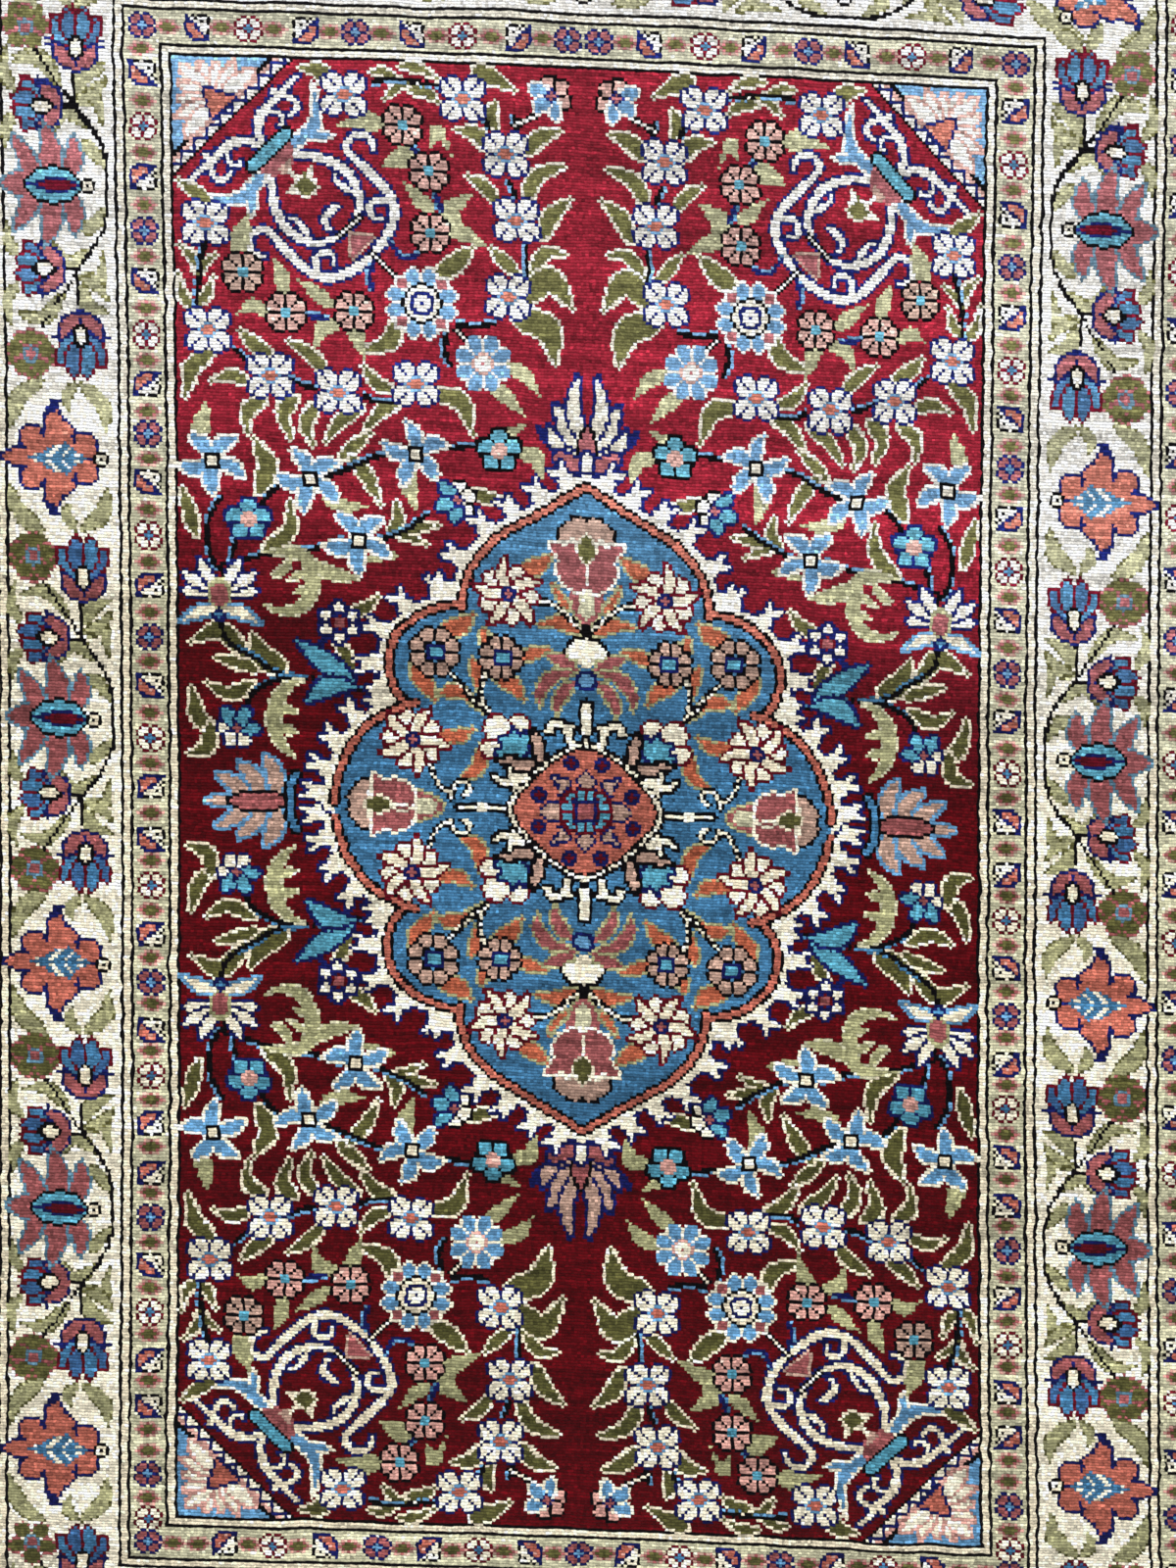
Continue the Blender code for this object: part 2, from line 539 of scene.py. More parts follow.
def lotus_flower(chart, u, v):
    """The white lotus over two pale leaves."""
    for angle, reach in ((6, 11.5), (174, 11.5), (32, 13), (148, 13), (60, 13.5), (120, 13.5)):
        leaf(chart, [spot(u, v, 2.5, angle), spot(u, v, reach, angle)], 1.7, "white", "navy", 1.0, 1.15)
    line(chart, [(u - 1.5, v + 10), (u - 1, v + 5)], "black", 1.2)
    for side in (-1, 1):
        low = [(u + side * across, v - under) for across, under in ((1.5, 4.6), (6, 5.2), (12, 8.4))]
        leaf(chart, low, 1.6, "cream", "sky", 1.15, 0.8)
    disc(chart, u, v + 0.4, 7.2, "sage", 9.6)
    disc(chart, u, v, 5.0, "rose", 7.4)
    disc(chart, u, v - 6.2, 4.6, "navy")
    disc(chart, u, v - 6.2, 2.4, "azure")


def blossom(chart, u, v, turn, cup, bloom, edge, cup_edge="navy"):
    """A flower seen from the side: pointed petals on one side of its heart and round ones on the other."""
    for step in (-62, 62, 0):
        at = spot(u, v, 4.0, turn + step)
        disc(chart, *at, 5.8, edge)
        disc(chart, *at, 4.0, bloom)
    for step in (118, 242, 180):
        leaf(chart, [spot(u, v, out, turn + step) for out in (1, 4.4, 7.2)], 1.9, cup, cup_edge, belly=0.9)
    disc(chart, u, v, 4.4, "navy")
    disc(chart, u, v, 2.8, "rose")


# The two large pale leaves of one quarter, blade by blade.
UPPER_ACANTHUS = (
    # start, heading, runs of length and turn, half width
    ((101, 62), 210, ((7, -30), (12, -85), (8, -20), (6, -70), (11, -15)), 2.3),
    ((88, 76.5), 212, ((8, -10), (9, -25)), 2.2),
    ((92.5, 78), -65, ((5, 10), (4.5, 60)), 1.4),
    ((87, 72.5), -5, ((7, -30),), 1.2),
    ((86.5, 66.5), 10, ((5.5, -25),), 1.1),
)
LOWER_ACANTHUS = (
    ((89.5, 38.5), -8, ((8, -50), (11, -40), (12, -55)), 2.4),
    ((98, 30), 200, ((7.5, -15),), 1.4),
    ((98.5, 24.5), 205, ((8, -12),), 1.4),
)


def acanthus(chart, parts):
    """A large pale leaf of several curling blades: each starts at a place with a heading and bends."""
    joined(chart, [bent_petal(*part, 0.95) for part in parts], "sage", "mist", 0.45)


# One side of the great palmette: its petals from base to tip, outward along the row and along the border.
FAN = (
    # base, bend, tip, half width
    ((6, 1), (10.5, 4.8), (16.5, 8.6), 2.2),
    ((2, 2), (4.8, 7.4), (9.6, 12), 2.3),
    ((-2, 2.5), (-2, 8), (1, 14.5), 2.6),
)


def side_palmette(chart, u, v):
    """The great palmette at the end of the middle row, its petals spread towards the border."""
    for base, bend, tip, wide in FAN:
        for side in (1, -1):
            leaf(chart, [(u + a, v + side * b) for a, b in (base, bend, tip)], wide, "sand", "sky", 1.2, 0.9)
    leaf(chart, [(u + 9, v), (u + 14, v), (u + 19, v)], 1.7, "sand", "sky", 1.3, 0.9)
    leaf(chart, [(u + 12, v), (u + 3, v), (u - 6.5, v)], 3.0, "rose", "black", 1.0, 0.9)
    calyx = [(u - 8.4, v + 8.6), (u - 6.4, v + 4), (u - 6.4, v - 4), (u - 8.4, v - 8.6)]
    line(chart, calyx, "azure", 2.2, "black", 0.9)


# One half of the lily beyond the medallion's tip, from its foot: the petals and bracts of the flower.
LILY_FOOT = 104
LILY = (
    # root, bend, tip, half width
    ((3, 9), (9, 11), (15.5, 16), 2.0),
    ((3.5, 11), (7, 17), (10, 24.5), 2.3),
    ((2.6, 14), (4.4, 23), (3.2, 33), 2.1),
    ((8, 11), (11, 13), (12.5, 17.5), 1.6),
)


def finial(chart, bloom):
    """The lily on the axis, beyond the medallion's tip."""
    low = LILY_FOOT
    for root, bend, tip, wide in LILY:
        leaf(chart, [(u, low + v) for u, v in (root, bend, tip)], wide, bloom, "navy", 1.2, 0.8)
    leaf(chart, [(0, low + 4), (0, low + 11), (0, low + 17)], 2.4, "rose", "black", belly=0.9)
    leaf(chart, [(1, low + 5), (6, low + 6), (10.5, low + 8.5)], 2.4, "rose", "navy", 1.1, 1.1)
    line(chart, [(0, low + 8), (0, low - 4)], "white", 2.6, "navy")
    leaf(chart, [(0, low + 1), (4, low), (8, low - 4)], 1.8, "white", "navy", belly=1.0)


def from_corner(path, side):
    """Turns places counted from the field's corner, inward along its diagonal and sideways, into knots."""
    inward, aside = path[:, 0] * math.sqrt(0.5), side * path[:, 1] * math.sqrt(0.5)
    return np.stack([FIELD_U + 0.5 - inward - aside, FIELD_V + 0.5 - inward + aside], axis=1)


# The spandrel's scrolls on one side of the diagonal, inward from the corner and aside from the diagonal.
NEAR_SCROLLS = (
    # start, heading, runs of length and turn, width
    ((37.3, 0.8), 158, ((11, -64), (14, -6)), 2.5),
    ((28.6, 14.5), 30, ((6.5, -8), (8, -170)), 1.8),
    ((30.6, 8), 42, ((4.5, -10), (6, -150)), 1.6),
)
INNER_SCROLLS = (
    ((47.4, 5.6), 44, ((12, -22), (25, -114)), 2.6),
    ((68, 10), 196, ((5, -6), (4, -50)), 1.9),
)
OUTER_SCROLLS = (
    ((84.8, 0), 88, ((11, 22), (12, 64), (14, 14), (17, -240)), 2.6),
    ((78, 16.5), 205, ((4, 20), (10, 190)), 1.9),
)
# The half palmette in the corner: how far each petal reaches, and its turn from the diagonal.
CORNER_PETALS = ((15, 0, 2.2), (12.5, 23, 1.7), (11.5, 46, 1.7), (13, 70, 1.9), (15, 95, 2.2))
# The corner's bands, by how far they reach from it along the rows and columns together.
SPANDREL_EDGE = 38.6
TOOTH_BAND = (32.2, 34.8, 37.4)
SPANDREL_GROUND = 31
TEETH_APART = 4
# How far in along the diagonal the half palmette has its root.
PALMETTE_ROOT = 19


def spandrel(chart):
    """The corner of the field: half a palmette in a toothed band, and the split scrolls that leave it."""
    corner_palmette(chart)
    split_scrolls(chart)
    scroll_flower(chart)
    scroll_bud(chart, 87, 193)


def corner_palmette(chart):
    """Half a pale palmette on a light blue ground, with a toothed band beyond it."""
    place, u, v = chart.window(FIELD_U - SPANDREL_EDGE, FIELD_U, FIELD_V - SPANDREL_EDGE, FIELD_V)
    depth = (FIELD_U + 1 - u) + (FIELD_V + 1 - v)
    inner, middle, outer = TOOTH_BAND
    chart.dye(place, depth < SPANDREL_EDGE, "black")
    toothed = (depth > inner) & (depth < outer)
    chart.dye(place, toothed & (depth > middle), "white")
    chart.dye(place, toothed & (depth <= middle), "blush")
    gaps = ((FIELD_U - 2 - u) % TEETH_APART < 1) | ((FIELD_V - 1 - v) % TEETH_APART < 1)
    chart.dye(place, toothed & gaps, "navy")
    chart.dye(place, depth < SPANDREL_GROUND, "sky")
    for side in (1, -1):
        for reach, turn, wide in CORNER_PETALS:
            ahead, aside = math.cos(math.radians(turn)), side * math.sin(math.radians(turn))
            ends = [(PALMETTE_ROOT - out * ahead, out * aside) for out in (3, reach)]
            path = from_corner(curve(ends), 1)
            joined(chart, [(path, blade(path, wide, 0.8))], "white", "blush", 1.2)
    cornered(chart, ((22.5, 4.8), (22.5, -4.8), (13.5, 0)), "salmon", "navy")


def cornered(chart, places, silk, edge=None):
    """A filled outline with straight sides, its places counted from the field's corner."""
    patch(chart, from_corner(np.array(places, float), 1), silk, edge)


def split_scrolls(chart):
    """The pale scrolls either side of the diagonal, and the comma inside them."""
    pale = "white" if chart.up > 0 else "cream"
    for family in (NEAR_SCROLLS, OUTER_SCROLLS, INNER_SCROLLS):
        shapes = []
        for side in (1, -1):
            for start, heading, runs, wide in family:
                shapes.append(scroll(from_corner(bent(start, heading, *runs), side), wide))
        joined(chart, shapes, pale, "navy", 0.85)
    comma = from_corner(bent((67.5, 3), 255, (3, 10), (6, 100)), 1)
    joined(chart, [scroll(comma, 2.4)], pale, "navy", 0.85)


def scroll_flower(chart):
    """The flower across the diagonal that the scrolls spring from: two blue tails, a rose cup and a bar."""
    for side in (1, -1):
        tail = from_corner(bent((44.6, 4.5), 78, (9, 12), (7, 50), (9.5, 8)), side)
        spread = from_corner(bent((45, 11), 44, (9, 8)), side)
        both = [(tail, blade(tail, 1.7, 0.62)), (spread, blade(spread, 1.3, 0.7))]
        joined(chart, both, "sky", "white", 0.95)
    cornered(chart, ((42, -7), (42, 8), (48, 5), (50.5, 0), (48, -4)), "rose")
    cornered(chart, ((47, -3), (47, 4), (50.5, 0)), "sand")
    line(chart, from_corner(curve([(41, 7.8), (41, -6.4)]), 1), "teal", 3.4, "black")
    cornered(chart, ((76.5, 0), (81.5, 4.5), (81.5, -4.5)), "rose", "sand")


def scroll_bud(chart, u, v):
    """The small green bud in its pale cup, inside the scrolls."""
    disc(chart, u, v, 8.4, "cream", 6.4)
    for across, along in ((-2, 5.5), (5, 4.5), (5.5, -2)):
        line(chart, [(u, v), (u + across, v + along)], "cream", 3.0, taper=0.5)
    disc(chart, u, v, 6.2, "olive", 4.4)
    line(chart, [(u, v), (u, v + 3.5)], "olive", 2.4, taper=0.5)


def field(chart):
    """The crimson field round the medallion, worked towards the corner."""
    spandrel(chart)
    for *points, wide in OLIVE_LEAVES:
        leaf(chart, points, wide, rim=0.95)
    for *points, wide in SAGE_LEAVES:
        leaf(chart, points, wide, "sage", None)
    for route, upper, lower in STEMS:
        stem(chart, route, upper, lower)
    for ends in DASHES:
        dashed(chart, ends)
    for u, v in WHITE_FLOWERS:
        daisy(chart, u, v)
    for u, v, silk in DARK_FLOWERS:
        aster(chart, u, v, silk)
    for u, v, turn in STARS:
        star(chart, u, v, turn)
    rosette(chart, 52, 158)
    blue_flower(chart, 33, 140)
    blossom(chart, 10, 224, 140, "sky", "blush", "black", cup_edge="white")
    small_flower(chart, 28, 113, "teal", "black", "blush")
    small_flower(chart, 106, 89, "teal", "navy", "blush")
    small_flower(chart, 78, 57, "white", "navy", "rose", count=6, reach=4.8, wide=3.0)
    blossom(chart, 41, 97, 160, "teal", "white", "black")
    blossom(chart, 110, 23, -60, "teal", "white", "navy")
    lotus_flower(chart, 115, 65)
    for points in (((73, 37), (80, 43), (91, 51)), ((73, 37), (81, 37), (88, 32))):
        leaf(chart, points, 2.8, "teal", "navy", 1.1, 1.1)
    acanthus(chart, UPPER_ACANTHUS)
    acanthus(chart, LOWER_ACANTHUS)
    finial(chart, "cream" if chart.up > 0 else "sand")


# The medallion's edge in one quarter, along its salmon band's middle: a shoulder under the tip and two lobes.
MEDALLION = (
    # start, heading, runs of length and turn, where hooks stand as shares of it, which way their barbs turn
    ((0, 103), -33, ((30.5, 3), (28.5, -60)), (0.08, 0.25, 0.42, 0.58, 0.75, 0.92), -1),
    ((40, 64.2), 0, ((19.6, -45), (28.5, -97)), (0.12, 0.31, 0.5, 0.69, 0.86), -1),
    ((54, 33), -14, ((44.5, -76),), (0.22, 0.41, 0.6, 0.78, 0.95), 1),
)


def hook(root, out, barb):
    """A white barbed hook standing out of the medallion's edge: its foot, its stem and two prongs."""
    foot = np.array([spot(*root, -1.5, out), spot(*root, 1.2, out)])
    fork = spot(*root, 3.4, out)
    prongs = [(root, out, 5, 0, 1.35)]
    prongs += [(fork, out + 62 * barb, 4.2, -45 * barb, 1.05), (fork, out - 38 * barb, 3.6, 30 * barb, 1.0)]
    shapes = [(foot, 2.7)]
    for start, heading, long, turn, wide in prongs:
        path = bent(start, heading, (long, turn))
        shapes.append((path, np.linspace(wide, 0.75, len(path))))
    return shapes


def medallion_edge():
    """The medallion's edge in one quarter, and the hooks spread evenly along it."""
    edges, hooks = [], []
    for start, heading, runs, shares, barb in MEDALLION:
        path = bent(start, heading, *runs)
        edges.append(path)
        for share in shares:
            at = round(share * (len(path) - 1))
            run = path[min(at + 1, len(path) - 1)] - path[max(at - 1, 0)]
            out = math.degrees(math.atan2(run[1], run[0])) + 90
            hooks.extend(hook(spot(*path[at], 3.2, out), out, barb))
    return np.concatenate(edges), hooks


def sword_flower(chart, u, v, turn):
    """The cream flower of bent sword-shaped petals, edged in maroon, with round white petals between them."""
    for step in range(5):
        at = spot(u, v, 6.8, turn + 40 + 72 * step)
        disc(chart, *at, 6.8, "maroon")
        disc(chart, *at, 5.0, "white")
    swirl(chart, u, v, [(turn + 72 * step, 12, 11.6) for step in range(5)], 1.6, "cream", "maroon", 1.5, 0.8)
    disc(chart, u, v, 4.6, "navy")
    disc(chart, u, v, 2.8, "rose")


def round_flower(chart, u, v, reach, across):
    """The beige eight-petalled flower on the blue ground."""
    places = [spot(u, v, reach, 22.5 + 45 * step) for step in range(8)]
    for at_u, at_v in places:
        disc(chart, at_u, at_v, across + 1.9, "black")
    for at_u, at_v in places:
        disc(chart, at_u, at_v, across, "sand")
    box(chart, u - 3, u + 2, v - 2, v + 2, "navy")
    box(chart, u - 2, u + 1, v - 1, v + 1, "teal")


def tulip(chart, u, v, out, lift):
    """A rose tulip in a white edge, with a green seed, a beige crown and a pale green foot.

    Out is the way from its foot to its crown, and lift the way to its side, in knots of the chart.
    """
    out = np.array(out, float)
    lift = np.array(lift, float)

    def at(along, aside):
        return tuple(np.array((u, v)) + along * out + aside * lift)

    foot = [petal([at(-13, 0), at(-6, 3 * side), at(-2, 5.6 * side)], 2.0, 0.8) for side in (-1, 1)]
    joined(chart, foot + [petal([at(-13, 0), at(-5, 0), at(0, 0)], 3.6, 1.2)], "rose", "sage", 0.8)
    leaf(chart, [at(-11, 0), at(-6, 0), at(-2, 0)], 3.0, "mist", None, belly=1.2)
    for side in (-1, 1):
        leaf(chart, [at(-1, 0), at(2, 5.0 * side), at(5, 0.5 * side)], 1.0, "rose", "sage", 1.2)
    crown = [at(15 + 3.6 * math.cos(turn), 6.4 * math.sin(turn)) for turn in (-1.2, -0.45, 0.45, 1.2)]
    joined(chart, [lobe(*place, 6.6) for place in crown], "sand", "black", 0.9)
    for side in (-1, 1):
        joined(chart, [
            petal([at(0, 1.5 * side), at(5, 5.6 * side), at(14, 5 * side)], 4.4, 0.75),
            petal([at(6, 6 * side), at(10, 8.4 * side), at(13, 13.4 * side)], 2.4, 0.7),
        ], "rose", "white", 1.0)
    line(chart, [at(0, 0), at(9, 0)], "white", 0.9)
    line(chart, [at(13.8, 9), at(13.4, 4), at(15.4, 0), at(13.4, -4), at(13.8, -9)], "white", 1.2)
    leaf(chart, [at(8, 0), at(12, 0), at(15.6, 0)], 2.3, "olive", "cream", 0.8)


# The hanging palmette's three arms on one side.
HANGING_ARMS = (
    # start, heading, runs of length and turn, half width
    ((2, 43.5), 50, ((12, -45),), 1.8),
    ((3, 43.4), 15, ((8, -45), (11, -75)), 1.9),
    ((2, 41), -12, ((14, -85),), 1.8),
)


def hanging_palmette(chart):
    """The curling rose palmette hung under the pale dome on the axis."""
    for part in HANGING_ARMS:
        joined(chart, [bent_petal(*part, 1.15)], "rose", "sage", 0.9)
    disc(chart, 0, 41.5, 7.0, "navy", 6.4)
    disc(chart, 0, 41.5, 4.6, "sky", 4.2)
    joined(chart, [lobe(0, 51.5, 9.0), lobe(3.4, 51, 6.0)], "white", "sage", 0.7)
    line(chart, bent((7, 50), 100, (6, 50), (3, 30)), "black", 1.2)
    leaf(chart, [(0, 46.5), (0, 53.5)], 2.6, "cream", None)


HEART = quarter([
    "N..............",
    "DN.............",
    "DDN......NNN...",
    "DDDN..NNNNDN...",
    "DDDN.NDDDDN....",
    "DDN..NDDDNN....",
    "MMMN.MNDDN.....",
    "MTTMMMMND......",
    "MTTMTTMMNN.....",
    "MTTNMTTMM......",
    "NNNNNTMMMNNNN..",
    "RRRNMTTTMDDDDN.",
    "RRRNMTTTMDDDDDN",
    "RRRNMMMMMDDDDDD",
])


# How full an oval is: 1 is a diamond and 2 an ellipse.
OVAL_FULLNESS = 1.38


def oval(wide, long):
    """A closed oval round the middle, fuller than a diamond and leaner than an ellipse."""
    turns = np.linspace(0, 2 * math.pi, 80, endpoint=False)
    side, up = np.sin(turns), np.cos(turns)
    power = 2 / OVAL_FULLNESS
    across, along = np.sign(side) * abs(side) ** power, np.sign(up) * abs(up) ** power
    return np.stack([wide * across, long * along], axis=1)


# The white branches of the heart in one quarter.
TWIGS = (
    # start, heading, runs of length and turn, width
    ((4.5, 21), 62, ((4, 15), (6, -95), (3, -60)), 2.2),
    ((6.5, 25), 120, ((3, 50),), 1.7),
    ((11, 25), 80, ((2.6, 0),), 1.7),
    ((18.5, 10), 5, ((6, -20),), 2.4),
    ((23.5, 9), 75, ((4, 10),), 2.0),
    ((24.5, 8.4), -10, ((5, 60),), 2.0),
    ((22, 9), -75, ((3, 0),), 1.6),
)


def heart_oval(chart):
    """The coral oval in the middle, with its white branches, dots and rays."""
    shapes = [(oval(24.0, 21.4), 0.85)]
    shapes += [scroll(bent(start, heading, *runs), wide) for start, heading, runs, wide in TWIGS]
    joined(chart, shapes, "white", "black")
    patch(chart, oval(22.6, 20.0), "salmon", "black", 0.9)
    for u, v in ((5, 15), (15, 5), (5, -15), (15, -5)):
        disc(chart, u, v, 4.6, "navy")
        disc(chart, u, v, 2.4, "maroon")
    worked(chart, 0, 0, HEART)


MEDALLION_LEAVES = (
    # base, bend, tip, half width
    ((45, 57), (40, 57.5), (36, 61), 2.6),
    ((33, 56), (32, 53), (32, 50), 1.6),
    ((55, 45), (52, 40), (48, 34), 2.6),
    ((36, 47), (34.5, 42), (34, 37), 1.8),
    ((46, 36), (40, 36.5), (33, 31), 2.0),
    ((21, 49), (17, 49.5), (12, 51), 1.8),
    ((29, 42), (24, 40), (20, 35), 2.4),
    ((46, 23), (41, 22), (36, 25), 2.0),
    ((33, 20), (34, 13), (40, 9), 2.2),
    ((21, 75), (16, 77), (11, 81), 2.4),
    ((3, 57), (8, 59.5), (15, 59), 2.0),
    ((4, 63), (8, 66.5), (11, 72), 1.1),
)
MEDALLION_STEMS = (
    ((1, 57), (5, 60.5), (9, 64), (13, 66), (18, 65)),
    ((44, 43), (39, 37.5), (33, 31.5)),
    ((31, 44), (33, 41), (33, 34), (30, 29)),
    ((50, 13), (47, 7), (43, 4.5)),
    ((43, 3), (42, 7), (39, 8.5), (37, 6), (39, 4)),
)
# How far outside the middle of the medallion's edge each silk starts. The first two run on into the hooks.
OUTLINE_OUT, WHITE_OUT = 4.5, 3.6
EDGE_BANDS = ((1.85, "black"), (1.0, "salmon"), (-1.0, "black"), (-1.85, "azure"))


def medallion_ground(chart):
    """The medallion's blue ground in its banded edge, with the white hooks outside it."""
    path, hooks = medallion_edge()
    ring = np.concatenate([path, [(path[-1][0], -20), (-20, -20), (-20, 103)]])
    place, u, v = chart.window(0, 96, -3, 114)
    away = np.full(u.shape, 99.0)
    for step in range(0, len(path), 24):
        some = path[step:step + 24]
        away = np.minimum(away, np.hypot(u[..., None] - some[:, 0], v[..., None] - some[:, 1]).min(axis=2))
    away[within(ring, u, v)] *= -1
    hooks = [chart.gap(*part) for part in hooks]
    chart.dye(place, away < OUTLINE_OUT, "navy")
    for where, gap in hooks:
        chart.dye(where, gap < 1.0, "navy")
    chart.dye(place, away < WHITE_OUT, "white")
    for where, gap in hooks:
        chart.dye(where, gap < 0, "white")
    disc(chart, 65, 37, 6, "white")
    for start, silk in EDGE_BANDS:
        chart.dye(place, away < start, silk)


def cloud_flower(chart):
    """The white cloud with a blue-green cup and two beige leaves, between the heart and the sword flowers."""
    cloud = ((21.5, 26.5, 6.4), (28.4, 25.6, 7.4), (30.4, 19.4, 5.6))
    joined(chart, [lobe(*part) for part in cloud], "white", "maroon")
    for at_u, at_v, angle in ((24.6, 28.6, 260), (31.4, 22.2, 190)):
        line(chart, [(at_u, at_v), spot(at_u, at_v, 4, angle)], "maroon", 1.0)
    cup = [petal([(21, 17), tip], 1.9, 0.8) for tip in ((19.4, 24), (23.4, 25), (27.2, 22.6), (28.6, 18))]
    joined(chart, cup, "teal", "navy", 1.1)
    for points in (((14, 14.5), (15, 19.5), (16.8, 25.5)), ((14.5, 13.5), (21, 14.2), (28.5, 15.6))):
        leaf(chart, points, 1.7, "sand", "black", 1.1, 0.9)


def medallion(chart):
    """One quarter of the medallion: its ground, and the leaves, stems and flowers on it."""
    medallion_ground(chart)
    for *points, wide in MEDALLION_LEAVES:
        leaf(chart, points, wide, "apricot", "sage", 0.9)
    for route in MEDALLION_STEMS:
        dashed(chart, route)
    line(chart, [(41, 0), (25, 0)], "black", 2.4)
    line(chart, [(40, 0), (26, 0)], "white", 0.9)
    disc(chart, 33, 0, 4.6, "white", 3.2)
    hanging_palmette(chart)
    tulip(chart, 0, 71.5, (0, 1), (0.88, 0))
    disc(chart, 0, 57.5, 4.0, "black")
    tulip(chart, 56.5, 0, (0.84, 0), (0, 0.69))
    sword_flower(chart, 25, 68, 75)
    sword_flower(chart, 55, 21, 180)
    round_flower(chart, 48, 49, 5.8, 4.4)
    round_flower(chart, 27, 48, 4.8, 3.6)
    cloud_flower(chart)
    heart_oval(chart)
    line(chart, [(0, 21), (0, 26)], "white", 1.2, "black")
    line(chart, [(0, 26), (0, 33.5)], "white", 3.0, "black", 1.1)


# Where the border's palmettes stand, in rows from the middle row: their way along it is not mirrored.
ROSE_PALMETTES = (191, 24, -133)
CORAL_PALMETTES = (106, -54, -212)
CORNER = FIELD_U + FRAME + GUARD + FRAME + MAIN // 2 + 1
CORNER_V = CORNER - FIELD_U + FIELD_V
GUARD_MIDDLE = FRAME + GUARD // 2 + 1
OUTER_GUARD = 2 * FRAME + GUARD + MAIN + FRAME + GUARD // 2 + 1
# A guard's motifs from the middle outward: Blots, toothed Squares, and flowers edged in Maroon or Navy.
FAR_SIDE = "bsbmbsbn" * 4
NEAR_SIDE = "bsbmbsbnbsbmbsbsbnbsbmbsbsbbnbmn"
FAR_END = "nbsbmbsb" * 2 + "n"
NEAR_END = "nbsbmbsb" * 2 + "bn"
OUTER_END = "nbsbmbsb" * 3 + "n"


def rings(knots):
    """The plain bands round the field: cream frames between black lines, and the grounds between them."""
    striped = ((1, "black"), (FRAME - 2, "cream"), (1, "black"))
    bands = (
        *striped, (GUARD, "mist"), *striped, (MAIN, "white"), *striped, (GUARD, "mist"), *striped,
        (PLAIN, "crimson"),
    )
    v, u = np.mgrid[-HALF_V:HALF_V + 1, 0:HALF_U + 1]
    outside = np.maximum(u - FIELD_U, abs(v) - FIELD_V)
    ring = 0
    for wide, silk in bands:
        knots[(outside > ring) & (outside <= ring + wide)] = NUMBER[silk]
        ring += wide


def guard(chart, band, run, first, last, upright):
    """One straight run of a guard band: its motifs by their letters, evenly spread from first to last."""
    for step, kind in enumerate(run):
        along = round(first + (last - first) * step / (len(run) - 1))
        at = (FIELD_U + band, along) if upright else (along, FIELD_V + band)
        if kind == "n":
            worked(chart, *at, PINK)
        elif kind == "m":
            worked(chart, *at, PINK, {"N": "M", "R": "W", "L": "B"})
        elif kind == "s":
            motif = TOOTHED if (step // 4) % 2 else TOOTHED[::-1]
            worked(chart, *at, motif if upright else motif.T)
        else:
            worked(chart, *at, BLOT)


RING = quarter([
    "KK.",
    "CCK",
    "KCK",
])
# The petals on one side of the border's rose palmette: outward across the border, and along it.
ROSE_PETALS = (
    # base, bend, tip, half width
    ((6, 2), (8.5, 8), (12.4, 14.5), 2.7),
    ((1, 3), (0.6, 10), (2.6, 19), 3.5),
    ((-5, 3), (-6.8, 9), (-6.6, 15), 2.6),
)
# The lobes of its eye: outward, along, and how far across.
ROSE_EYE = (
    (-6.4, 0, 4.4), (6.6, 0, 4.4), (-4, 2, 4.6), (-4, -2, 4.6), (0, 2.8, 5), (0, -2.8, 5), (4, 2, 4.6),
    (4, -2, 4.6),
)


def rose_palmette(chart, at):
    """The border's rose palmette: pointed petals, paler at their rims, round a blue-green eye."""
    fan = [petal([at(6, 0), at(11, 0), at(16.5, 0)], 3.2)]
    for side in (1, -1):
        for base, bend, tip, wide in ROSE_PETALS:
            fan.append(petal([at(a, side * b) for a, b in (base, bend, tip)], wide, 0.75))
    joined(chart, fan, "rose", "slate", 0.95)
    joined(chart, [lobe(*at(a, b), across) for a, b, across in ROSE_EYE], "teal", "black", 0.9)
    line(chart, [at(8, 0), at(3, 0)], "navy", 1.2)
    leaf(chart, [at(4.5, 0), at(-7, 0)], 1.7, "maroon", "navy", 0.9, 1.0)
    worked(chart, *at(-11, 0), RING)


# The coral palmette's round lobes on one side, outward across the border and along it, and how far across.
CORAL_LOBES = ((8.2, 6.4, 7), (-1, 7, 9), (-9, 3.8, 7.6), (3, 2, 11), (-5, 0, 9))


